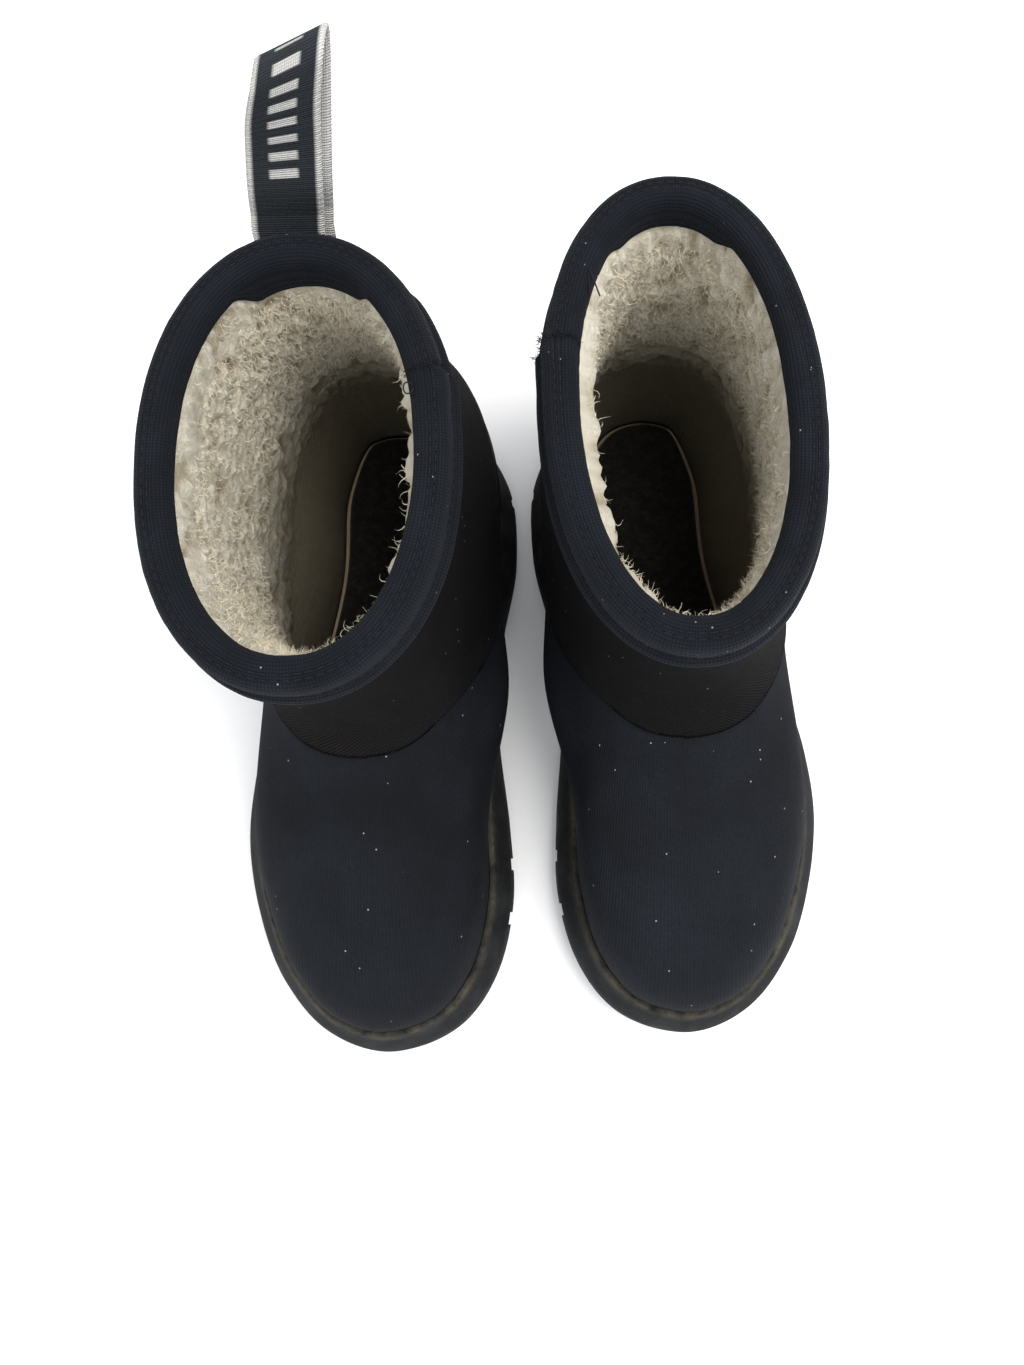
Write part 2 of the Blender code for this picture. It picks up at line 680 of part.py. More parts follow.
def make_boot(side):
    flip = 1.0 if side == "right" else -1.0
    parent = bpy.data.objects.new(f"{side}_boot", None)
    bpy.context.scene.collection.objects.link(parent)
    x = -flip * HALF_STANCE + CENTRE_SHIFT[0]
    y = HEEL_LINE_Y - flip * STEP_BETWEEN_HEELS / 2 + CENTRE_SHIFT[1]
    parent.location = (x * MM, y * MM, 0.0)
    parent.rotation_euler = (0.0, 0.0, -flip * math.radians(TOE_OUT_DEG))
    rows, normals, seam_row = upper_face(side)
    make_outsole(side, parent)
    make_sole_stack(side, parent)
    make_upper(side, parent, rows, normals, seam_row)
    make_collar(side, parent, rows, normals)
    make_loop(side, parent, rows, normals)


def main():
    for obj in list(bpy.context.scene.objects):
        bpy.data.objects.remove(obj, do_unlink=True)
    for side in ("right", "left"):
        make_boot(side)


main()
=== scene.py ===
"""The look of a pair of worn, pile-lined winter boots, seen from above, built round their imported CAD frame.

Shapes are made in boot coordinates in millimetres: x towards the other boot (medial), y from the heel
back towards the toe, z up from the ground. They follow the same curves as the CAD part, far denser.
"""

import json
import math

import bpy
import numpy as np
from mathutils import Matrix, Vector

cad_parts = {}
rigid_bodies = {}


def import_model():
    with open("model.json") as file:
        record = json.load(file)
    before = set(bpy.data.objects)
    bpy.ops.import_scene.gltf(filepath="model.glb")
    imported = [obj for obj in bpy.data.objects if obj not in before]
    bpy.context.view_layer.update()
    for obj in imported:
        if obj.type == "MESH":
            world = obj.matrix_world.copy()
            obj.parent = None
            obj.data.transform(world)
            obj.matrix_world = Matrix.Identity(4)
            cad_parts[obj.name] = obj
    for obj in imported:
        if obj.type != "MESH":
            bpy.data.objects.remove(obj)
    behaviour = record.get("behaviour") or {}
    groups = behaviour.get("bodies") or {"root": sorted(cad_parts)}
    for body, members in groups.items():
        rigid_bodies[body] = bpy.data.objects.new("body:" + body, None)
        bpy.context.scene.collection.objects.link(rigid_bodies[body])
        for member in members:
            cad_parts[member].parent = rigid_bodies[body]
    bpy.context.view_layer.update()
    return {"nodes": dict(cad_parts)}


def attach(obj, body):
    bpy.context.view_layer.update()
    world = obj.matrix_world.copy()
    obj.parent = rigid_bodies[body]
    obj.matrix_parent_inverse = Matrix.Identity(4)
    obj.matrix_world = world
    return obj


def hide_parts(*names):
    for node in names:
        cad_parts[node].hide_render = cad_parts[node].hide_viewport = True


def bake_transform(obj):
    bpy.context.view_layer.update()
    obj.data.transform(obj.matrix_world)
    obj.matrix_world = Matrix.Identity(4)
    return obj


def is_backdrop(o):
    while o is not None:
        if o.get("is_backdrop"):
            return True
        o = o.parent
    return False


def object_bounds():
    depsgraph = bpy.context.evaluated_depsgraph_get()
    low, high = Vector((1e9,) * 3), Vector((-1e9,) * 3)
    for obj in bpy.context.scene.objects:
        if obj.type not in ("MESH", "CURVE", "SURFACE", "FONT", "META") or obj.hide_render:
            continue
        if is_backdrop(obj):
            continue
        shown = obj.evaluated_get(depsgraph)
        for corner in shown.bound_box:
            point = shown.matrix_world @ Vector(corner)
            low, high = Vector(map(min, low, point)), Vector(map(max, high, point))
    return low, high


MM = 0.001
SIDES = ("right", "left")
FLIP = {"right": 1.0, "left": -1.0}

# ---------------------------------------------------------------- dimensions shared with the CAD part, mm

COLLAR_HEIGHT = 188.5
HALF_STANCE = 49.1
TOE_OUT_DEG = 1.13
HEEL_LINE_Y = 127.5
STEP_BETWEEN_HEELS = 2.6
CENTRE_SHIFT_Y = -1.6

# Widest line of the sole, once round from the toe: medial side back to the heel, lateral side forward.
SOLE_OUTLINE = [
    (-1.0, 255.0), (24.0, 247.0), (38.0, 229.0), (44.8, 201.0), (43.5, 172.0), (39.5, 135.0), (42.0, 100.0),
    (47.0, 70.0), (44.0, 36.0), (24.0, 7.0), (0.0, 0.0), (-23.0, 8.0), (-36.0, 38.0), (-38.0, 76.0),
    (-45.5, 113.0), (-54.0, 155.0), (-55.0, 182.0), (-49.5, 207.0), (-39.0, 231.0), (-23.0, 248.0),
]

TREAD_INSET = 4.0
TREAD_CHAMFER = 1.6
GROOVE_DEPTH = 3.6
GROOVE_WIDTH = 6.0
GROOVE_PITCH = 17.5
FOREFOOT_GROOVES = (142.0, 5)
HEEL_GROOVES = (24.0, 3)
CUP_FLOOR = 8.0
WIDEST_LOW = 9.0
WIDEST_HIGH = 16.0
LIP_HEIGHT = 30.0
LIP_INSET = 6.5
LIP_WIDTH = 2.0
WAIST_Y = 132.0
WAIST_SPREAD = 34.0
WAIST_TUCK = 3.0
WAIST_BULGE = 20.0
SIDE_NICKS = [(1, 208.0), (1, 188.0), (1, 43.0), (-1, 180.0), (-1, 207.0), (-1, 43.0)]
NICK_WIDTH = 4.5
NICK_DEPTH = 1.8
NICK_TOP = 17.0

GAP = 0.3
MIDSOLE_TOP = 19.7
BOARD_THICKNESS = 2.0
FOOTBED_THICKNESS = 5.0
FOOTBED_CLEARANCE = 2.0
VAMP_THICKNESS = 2.0
FOOT_LINING = (4.0, 8.5)
SHAFT_LINING = (2.3, 5.8)
OVERLAY_HEIGHT = 1.6

SEAM_HALF_WIDTH = 42.0
SEAM_CENTRE_X = 0.5
SEAM_EXPONENT = 2.6
SEAM_BACK_Y = 6.0
SEAM_FRONT_Y = 156.0
SEAM_SIDE_Z = 68.0
SEAM_BACK_Z = 84.0
SEAM_FRONT_Z = 88.0

# How far the seam rises up the face beside its tip, medially and laterally, at what angle, and its hem.
SEAM_LIFT = (9.0, 1.5)
SEAM_LIFT_AT = 0.45
SEAM_LIFT_SPREAD = 0.27
SEAM_HEM = 3.0

TOE_RISE = 36.0
SIDE_RISE = 20.0
RING_EXPONENT = 2.15
COLLAR_STRAIGHT = 18.0
COLLAR_LEAN = 20.0
COLLAR_PULL = 32.0
BEND_SHARE = 0.30
BEND_MINIMUM = 6.0
ANKLE_WIDTH_SHARE = 0.90
ANKLE_CENTRE_SHARE = 0.5
ANKLE_HALF_LENGTH = 57.0
ANKLE_CENTRE_Y = 80.0
ANKLE_HEIGHT = 132.0
COLLARS = {"right": (39.2, 62.0, (-5.5, 89.4)), "left": (35.5, 65.6, (3.8, 81.6))}
POLAR_CENTRE_Y = 88.0
END_CROWDING = 0.35

TAPE = 1.5
BINDING_OUTSIDE = 15.0

WEB_WIDTH = 21.0
WEB_THICKNESS = 1.3
LOOP_FREE = 62.0
LOOP_GAP = 9.5
LOOP_NECK = 0.5
ROOT_LENGTH = 24.0
HINGE_OFFSET = 1.9
BEND_START = 12.0
BEND_END = 24.0
LOOP_CENTRE_X = {"right": -9.5, "left": 3.8}
LOOP_BEND_DEG = {"right": 19.0, "left": 0.0}
LOOP_TURN_DEG = {"right": 0.0, "left": 172.0}
LOOP_SKEW_DEG = {"right": 9.0, "left": 0.0}
ROOT_SHIFT = {"right": 2.6, "left": 0.0}
LOOP_FOOT = 2.2
CREST_SLANT = 13.0
BACK_SWING = 2.6

# ---------------------------------------------------------------- colours, as linear light

RUBBER = (0.0055, 0.0060, 0.0070)
RUBBER_SCUFF = (0.0200, 0.0210, 0.0220)
LIP_DIRT = (0.070, 0.063, 0.045)
VAMP_DARK = (0.0040, 0.0045, 0.0060)
VAMP_LIGHT = (0.0150, 0.0185, 0.0245)
VAMP_RIB = (0.0170, 0.0200, 0.0250)
PANEL_DARK = (0.0015, 0.0017, 0.0022)
PANEL_LIGHT = (0.0040, 0.0045, 0.0055)
TWILL_DARK = (0.0035, 0.0031, 0.0031)
TWILL_LIGHT = (0.0190, 0.0172, 0.0172)
KNIT_DARK = (0.0030, 0.0038, 0.0058)
KNIT_LIGHT = (0.0150, 0.0180, 0.0240)
PILE_LIGHT = (0.84, 0.79, 0.66)
PILE_MIDDLE = (0.62, 0.55, 0.40)
# Painted shade for the pile's crevices between the tufts.
PILE_CREVICE_SHADE = (0.33, 0.26, 0.15)
# Painted shade for the pile down in the boot, darkest at the bottom.
PILE_DEPTH_SHADE = (0.15, 0.125, 0.078)
FELT_DARK = (0.012, 0.011, 0.009)
FELT_LIGHT = (0.034, 0.032, 0.026)
WEB_DARK = (0.0060, 0.0090, 0.0120)
WEB_LIGHT = (0.0260, 0.0320, 0.0380)
SELVEDGE = (0.66, 0.65, 0.62)
LINT = (0.25, 0.25, 0.24)
THREAD = (0.006, 0.006, 0.009)
GREY_THREAD = (0.28, 0.28, 0.27)
FOOTBED_LINT = (0.05, 0.048, 0.042)
PILE_FIBRE = (0.70, 0.64, 0.50)
FOAM = (0.10, 0.10, 0.11)
STEEL = (0.40, 0.40, 0.42)
FIBRE_BOARD = (0.32, 0.24, 0.16)
STIFFENER = (0.40, 0.38, 0.35)
FLOOR_PAPER = (0.90, 0.90, 0.90)


# ---------------------------------------------------------------- curves

def closed_spline(points, per_span=48):
    """Dense points on a closed centripetal Catmull-Rom curve through the given ones."""
    pts = np.array(points, float)
    count = len(pts)
    dense = []
    for i in range(count):
        p0, p1, p2, p3 = (pts[(i + k) % count] for k in (-1, 0, 1, 2))
        k1 = math.sqrt(np.linalg.norm(p1 - p0))
        k2 = k1 + math.sqrt(np.linalg.norm(p2 - p1))
        k3 = k2 + math.sqrt(np.linalg.norm(p3 - p2))
        for t in np.linspace(k1, k2, per_span, endpoint=False):
            a1 = (k1 - t) / k1 * p0 + t / k1 * p1
            a2 = (k2 - t) / (k2 - k1) * p1 + (t - k1) / (k2 - k1) * p2
            a3 = (k3 - t) / (k3 - k2) * p2 + (t - k2) / (k3 - k2) * p3
            b1 = (k2 - t) / k2 * a1 + t / k2 * a2
            b2 = (k3 - t) / (k3 - k1) * a2 + (t - k1) / (k3 - k1) * a3
            dense.append((k2 - t) / (k2 - k1) * b1 + (t - k1) / (k2 - k1) * b2)
    return np.array(dense)


def unit(v):
    """Vectors scaled to length 1."""
    return v / np.maximum(np.linalg.norm(v, axis=-1, keepdims=True), 1e-9)


def bezier(p0, p1, p2, p3, t):
    """Point at t on a cubic curve."""
    return (1 - t) ** 3 * p0 + 3 * t * (1 - t) ** 2 * p1 + 3 * t**2 * (1 - t) * p2 + t**3 * p3


def smooth(x):
    """Eases from 0 to 1 as x goes from 0 to 1."""
    x = np.clip(x, 0.0, 1.0)
    return x * x * (3 - 2 * x)


class Columns:
    """Columns once round the boot, with the sole's widest line, its normals and each column's angle."""

    def __init__(self, count):
        self.count = count
        dense = closed_spline(SOLE_OUTLINE)
        tangent = unit(np.roll(dense, -1, 0) - np.roll(dense, 1, 0))
        normal = np.column_stack([-tangent[:, 1], tangent[:, 0]])
        steps = np.linalg.norm(np.diff(np.vstack([dense, dense[:1]]), axis=0), axis=1)
        arc = np.concatenate([[0.0], np.cumsum(steps)])
        heel = arc[np.argmin(dense[:, 1])]
        u = np.linspace(0.0, 1.0, count // 2, endpoint=False)
        share = u - END_CROWDING * np.sin(2 * math.pi * u) / (2 * math.pi)
        wanted = np.concatenate([share * heel, heel + share * (arc[-1] - heel)])
        closed = np.vstack([dense, dense[:1]])
        closed_normal = np.vstack([normal, normal[:1]])
        self.line = np.column_stack([np.interp(wanted, arc, closed[:, k]) for k in (0, 1)])
        out = np.column_stack([np.interp(wanted, arc, closed_normal[:, k]) for k in (0, 1)])
        self.out = unit(out)
        self.angle = np.arctan2(self.line[:, 0], self.line[:, 1] - POLAR_CENTRE_Y)
        near_waist = np.exp(-(((self.line[:, 1] - WAIST_Y) / WAIST_SPREAD) ** 2))
        self.waist = near_waist * (self.line[:, 0] > 0)
        self.lip = LIP_INSET - WAIST_TUCK * self.waist
        self.wall = self.lip + LIP_WIDTH

    def sole(self, inset, z):
        """Points on a line round the sole, inset from its widest line."""
        plan = self.line - np.broadcast_to(inset, self.count)[:, None] * self.out
        return np.column_stack([plan, np.broadcast_to(z, self.count)])

    def ring(self, half_width, half_length, centre, z, n=RING_EXPONENT):
        """Points on an upright superellipse ring; z may differ from column to column."""
        s, c = np.sin(self.angle), np.cos(self.angle)
        radius = ((abs(s) / half_width) ** n + (abs(c) / half_length) ** n) ** (-1 / n)
        return np.column_stack([
            centre[0] + radius * s,
            centre[1] + radius * c,
            np.broadcast_to(z, self.count),
        ])


def upper_face(side, cols, foot_steps, shaft_steps, top=COLLAR_HEIGHT - TAPE - GAP):
    """Outer face of the upper as two grids of rows with outward normals.

    The foot's grid runs from the cup up to the seam, the shaft's from the seam to the collar.
    """
    half_width, half_length, centre = COLLARS[side]
    cosine = np.cos(cols.angle)
    front = (1 + cosine) / 2
    seam_z = SEAM_SIDE_Z + (SEAM_FRONT_Z - SEAM_SIDE_Z) * np.clip(cosine, 0, 1) ** 4
    seam_z = seam_z + (SEAM_BACK_Z - SEAM_SIDE_Z) * np.clip(-cosine, 0, 1) ** 2
    seam_centre = (SEAM_CENTRE_X, (SEAM_FRONT_Y + SEAM_BACK_Y) / 2)
    seam_length = (SEAM_FRONT_Y - SEAM_BACK_Y) / 2
    seam = cols.ring(SEAM_HALF_WIDTH, seam_length, seam_centre, seam_z, SEAM_EXPONENT)
    bottom = cols.sole(cols.wall + GAP, MIDSOLE_TOP + GAP)
    lip = cols.sole(cols.wall + GAP, LIP_HEIGHT)
    collar = cols.ring(half_width, half_length, centre, top)

    rise = SIDE_RISE + (TOE_RISE - SIDE_RISE) * front**2
    lip_handle = lip + np.column_stack([WAIST_BULGE * cols.waist, 0 * rise, rise])
    ankle_centre = (centre[0] * ANKLE_CENTRE_SHARE, ANKLE_CENTRE_Y)
    ankle = cols.ring(half_width * ANKLE_WIDTH_SHARE, ANKLE_HALF_LENGTH, ankle_centre, ANKLE_HEIGHT)
    seam_run = unit(ankle - lip_handle)
    reach = BEND_SHARE * np.linalg.norm(seam - lip_handle, axis=1, keepdims=True) + BEND_MINIMUM
    seam_low_handle = seam - reach * seam_run
    reach = BEND_SHARE * np.linalg.norm(ankle - seam, axis=1, keepdims=True)
    seam_high_handle = seam + reach * seam_run
    flare = unit(collar - ankle + np.array([0.0, 0.0, COLLAR_LEAN]))
    straight = collar - COLLAR_STRAIGHT * flare
    collar_handle = straight - COLLAR_PULL * flare

    rows = [bottom, bottom + (lip - bottom) / 2, lip]
    for t in np.linspace(0, 1, foot_steps + 1)[1:]:
        rows.append(bezier(lip, lip_handle, seam_low_handle, seam, t))
    seam_row = len(rows) - 1
    for t in np.linspace(0, 1, shaft_steps + 1)[1:]:
        rows.append(bezier(seam, seam_high_handle, collar_handle, straight, t))
    rows += [straight + (collar - straight) * t for t in (0.25, 0.5, 0.75, 1.0)]
    rows = np.array(rows)

    along = np.gradient(rows, axis=0)
    around = np.roll(rows, -1, axis=1) - np.roll(rows, 1, axis=1)
    normals = unit(np.cross(along, around))
    flat = np.column_stack([cols.out, np.zeros(cols.count)])
    normals[:2] = flat
    normals[-1] = normals[-2]
    return (rows[:seam_row + 1], normals[:seam_row + 1]), (rows[seam_row:], normals[seam_row:])


def moved_seam(foot, shaft, angle):
    """The two grids cut anew, since the real seam rises past the CAD part's on each side of its tip.

    Both keep their row counts, and the foot gains a hem that tucks under the shaft.
    """
    rows = np.concatenate([foot[0], shaft[0][1:]])
    normals = np.concatenate([foot[1], shaft[1][1:]])
    _, up, _ = round_and_up(rows)
    window = np.exp(-(((np.abs(angle) - SEAM_LIFT_AT) / SEAM_LIFT_SPREAD) ** 2))
    seam = up[len(foot[0]) - 1] + window * np.where(angle > 0, *SEAM_LIFT)

    def between(low, high, count):
        """The grid and normals between two heights up each column."""
        wanted = low + (high - low) * np.linspace(0, 1, count)[:, None]
        both = np.concatenate([rows, normals], axis=2)
        picked = np.empty((count, *both.shape[1:]))
        for i in range(both.shape[1]):
            for k in range(both.shape[2]):
                picked[:, i, k] = np.interp(wanted[:, i], up[:, i], both[:, i, k])
        return picked[..., :3], unit(picked[..., 3:])

    cup_rows = 2
    upper_foot = between(up[cup_rows], seam + SEAM_HEM, len(foot[0]))
    lower = (rows[:cup_rows], normals[:cup_rows])
    new_foot = tuple(np.concatenate([a, b]) for a, b in zip(lower, upper_foot))
    return new_foot, between(seam, up[-1], len(shaft[0]))


# ---------------------------------------------------------------- repeatable noise

def value_noise(u, v, period_u, seed):
    """Smooth noise from -1 to 1 on unit cells, repeating after period_u cells round the boot."""
    rng = np.random.default_rng(seed)
    rows = int(np.ceil(v.max() - v.min())) + 3
    table = rng.uniform(-1, 1, (rows, period_u))
    v = v - v.min()
    iu, iv = np.floor(u).astype(int), np.floor(v).astype(int)
    fu, fv = smooth(u - iu), smooth(v - iv)
    i0, i1 = iu % period_u, (iu + 1) % period_u
    low = table[iv, i0] * (1 - fu) + table[iv, i1] * fu
    high = table[iv + 1, i0] * (1 - fu) + table[iv + 1, i1] * fu
    return low * (1 - fv) + high * fv


def round_and_up(rows):
    """How far each grid point is round the boot, as a share of the turn, and up the face, in mm."""
    count = rows.shape[1]
    step = np.linalg.norm(np.diff(rows, axis=0), axis=2)
    up = np.concatenate([np.zeros((1, count)), np.cumsum(step, axis=0)])
    mean_row = rows[len(rows) // 2]
    around = np.linalg.norm(np.roll(mean_row, -1, 0) - mean_row, axis=1)
    share = np.concatenate([[0.0], np.cumsum(around)])[:-1] / around.sum()
    return np.broadcast_to(share, up.shape), up, around.sum()


def layered_noise(rows, cell, octaves, seed):
    """Sum of octaves of noise over a grid of points that goes once round, cells in mm, roughly -1 to 1."""
    share, up, girth = round_and_up(rows)
    total = np.zeros(up.shape)
    weight = 0.0
    for k in range(octaves):
        size = cell / 2**k
        period = max(3, round(girth / size))
        total += value_noise(share * period, up / size, period, seed + k) / 2**k
        weight += 1 / 2**k
    return total / weight


def relief_of(rows, layers):
    """Relief in mm over a grid, from layers given as height, cell in mm, octaves and seed."""
    return sum(height * layered_noise(rows, cell, octaves, seed) for height, cell, octaves, seed in layers)


# ---------------------------------------------------------------- meshes

def to_row(points, side):
    """Boot coordinates in millimetres as row-frame coordinates in metres."""
    flip = FLIP[side]
    turn = -flip * math.radians(TOE_OUT_DEG)
    p = np.asarray(points, float) * MM
    x, y = flip * p[..., 0], -p[..., 1]
    base_x = -flip * HALF_STANCE * MM
    base_y = (HEEL_LINE_Y - flip * STEP_BETWEEN_HEELS / 2 + CENTRE_SHIFT_Y) * MM
    turned_x = x * math.cos(turn) - y * math.sin(turn) + base_x
    turned_y = x * math.sin(turn) + y * math.cos(turn) + base_y
    return np.stack([turned_x, turned_y, p[..., 2]], axis=-1)


def make_mesh(name, side, points, faces, uv=None, materials=()):
    """One named mesh object from boot coordinates, its faces wound to look outward there.

    uv holds a pair in metres per face corner.
    """
    mesh = bpy.data.meshes.new(name)
    placed = to_row(points, side)
    if side == "right":
        faces = [tuple(reversed(f)) for f in faces]
        if uv is not None:
            uv = [tuple(reversed(f)) for f in uv]
    mesh.from_pydata(placed.tolist(), [], [tuple(map(int, f)) for f in faces])
    if uv is not None:
        layer = mesh.uv_layers.new(name="cloth")
        layer.data.foreach_set("uv", np.array([c for f in uv for c in f], np.float32).ravel())
    for made in materials:
        mesh.materials.append(made)
    mesh.shade_smooth()
    mesh.validate()
    mesh.update()
    obj = bpy.data.objects.new(name, mesh)
    bpy.context.scene.collection.objects.link(obj)
    return obj


def distances(line):
    """How far along an open line each of its points lies."""
    steps = np.linalg.norm(np.diff(line, axis=0), axis=1)
    return np.concatenate([[0.0], np.cumsum(steps)])


def grid_faces(rows, closed_profile=False, u=None, v=None):
    """Faces, and cloth coordinates in metres per corner, of a grid of rows that each go once round.

    u and v are measured on the grid unless they are given, per column with one more at the end, and per
    row.
    """
    height, width = rows.shape[:2]
    if v is None:
        step_up = np.linalg.norm(np.roll(rows, -1, axis=0) - rows, axis=2).mean(axis=1) * MM
        v = np.concatenate([[0.0], np.cumsum(step_up)])
    if u is None:
        middle = rows[height // 2]
        u = distances(np.vstack([middle, middle[:1]])) * MM
    faces, uv = [], []
    for k in range(height if closed_profile else height - 1):
        a, b = k * width, (k + 1) % height * width
        for i in range(width):
            j = (i + 1) % width
            faces.append((a + i, b + i, b + j, a + j))
            uv.append(((u[i], v[k]), (u[i], v[k + 1]), (u[i + 1], v[k + 1]), (u[i + 1], v[k])))
    return faces, uv


def capped_grid(name, side, rows, made, **cloth):
    """A piece whose rows go once round, closed by a face across its first and its last row."""
    faces, uv = grid_faces(rows, **cloth)
    height, width = rows.shape[:2]
    first = range(width)
    last = range((height - 1) * width, height * width)
    faces += [tuple(first), tuple(reversed(last))]
    uv += [((0.0, 0.0),) * width] * 2
    return make_mesh(name, side, rows.reshape(-1, 3), faces, uv, materials=[made])


def ring_faces(start, sides, rings, inward=False):
    """Faces and both end caps of a thread whose rings of vertices are numbered from start."""
    faces = [tuple(range(start + sides - 1, start - 1, -1))]
    for low in range(start, start + (rings - 1) * sides, sides):
        high = low + sides
        for i in range(sides):
            j = (i + 1) % sides
            faces.append((low + i, low + j, high + j, high + i))
    last = start + (rings - 1) * sides
    faces.append(tuple(range(last, last + sides)))
    if inward:
        faces = [face[::-1] for face in faces]
    return faces


def closed_skin(outer, inner):
    """Profile rows of a closed wall: up the outer face, over the rim and down the inner face."""
    return np.concatenate([outer, inner[::-1]])


def show(obj, body, slot, *nodes):
    """The piece rides a body and stands for CAD nodes. slot is not used."""
    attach(obj, body)
    if nodes:
        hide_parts(*nodes)
    return obj


def skin_piece(name, side, rows, made):
    """A piece whose closed profile's rows go once round the boot."""
    faces, uv = grid_faces(rows, closed_profile=True)
    return make_mesh(name, side, rows.reshape(-1, 3), faces, uv, materials=[made])


STRAND_JOINTS = 3
STRAND_CORNERS = (0.0, 2.1, 4.2)
STRAND_TAPER = 0.8
THREAD_SIDES = 6
ODD_DIRECTION = (0.31, 0.17, 0.93)


def strands(name, side, roots, directions, lengths, radius, curl, seed, made):
    """Many short tapered threads, each a bent three-sided spike from its root."""
    rng = np.random.default_rng(seed)
    count = len(roots)
    direction = unit(directions)
    helper = unit(rng.normal(size=(count, 3)))
    across = unit(np.cross(direction, helper))
    third = np.cross(direction, across)
    points = []
    for t in np.linspace(0.0, 1.0, STRAND_JOINTS + 1):
        middle = roots + direction * (lengths * t)[:, None]
        middle = middle + across * (lengths * curl * t * t)[:, None]
        middle = middle + third * (lengths * curl * 0.5 * np.sin(3 * t))[:, None]
        girth = radius * (1 - STRAND_TAPER * t)
        points += [middle + girth * (math.cos(a) * across + math.sin(a) * third) for a in STRAND_CORNERS]
    per_strand = len(points)
    faces = []
    for k in range(count):
        faces += ring_faces(k * per_strand, len(STRAND_CORNERS), STRAND_JOINTS + 1)
    return make_mesh(name, side, np.stack(points, axis=1).reshape(-1, 3), faces, materials=[made])


def tube(name, side, path, radius, made):
    """A round thread along a path."""
    path = np.array(path, float)
    tangent = unit(np.gradient(path, axis=0))
    across = unit(np.cross(tangent, np.array(ODD_DIRECTION)))
    third = np.cross(tangent, across)
    points = []
    for k in range(len(path)):
        for a in np.linspace(0, 2 * math.pi, THREAD_SIDES, endpoint=False):
            points.append(path[k] + radius * (math.cos(a) * across[k] + math.sin(a) * third[k]))
    faces = ring_faces(0, THREAD_SIDES, len(path))
    return make_mesh(name, side, np.array(points), faces, materials=[made])


# ---------------------------------------------------------------- materials

# Noise, wave and speck scales are per metre, bump depths in metres. Noise takes scale, detail, roughness.

SPECK_CORE = 0.6
SPECK_RARITY = (0.72, 0.74)
THREAD_GRAIN = (2500.0, 0.0001)
RIB_SHOW = 0.12
STAIN_SHOW = 0.30


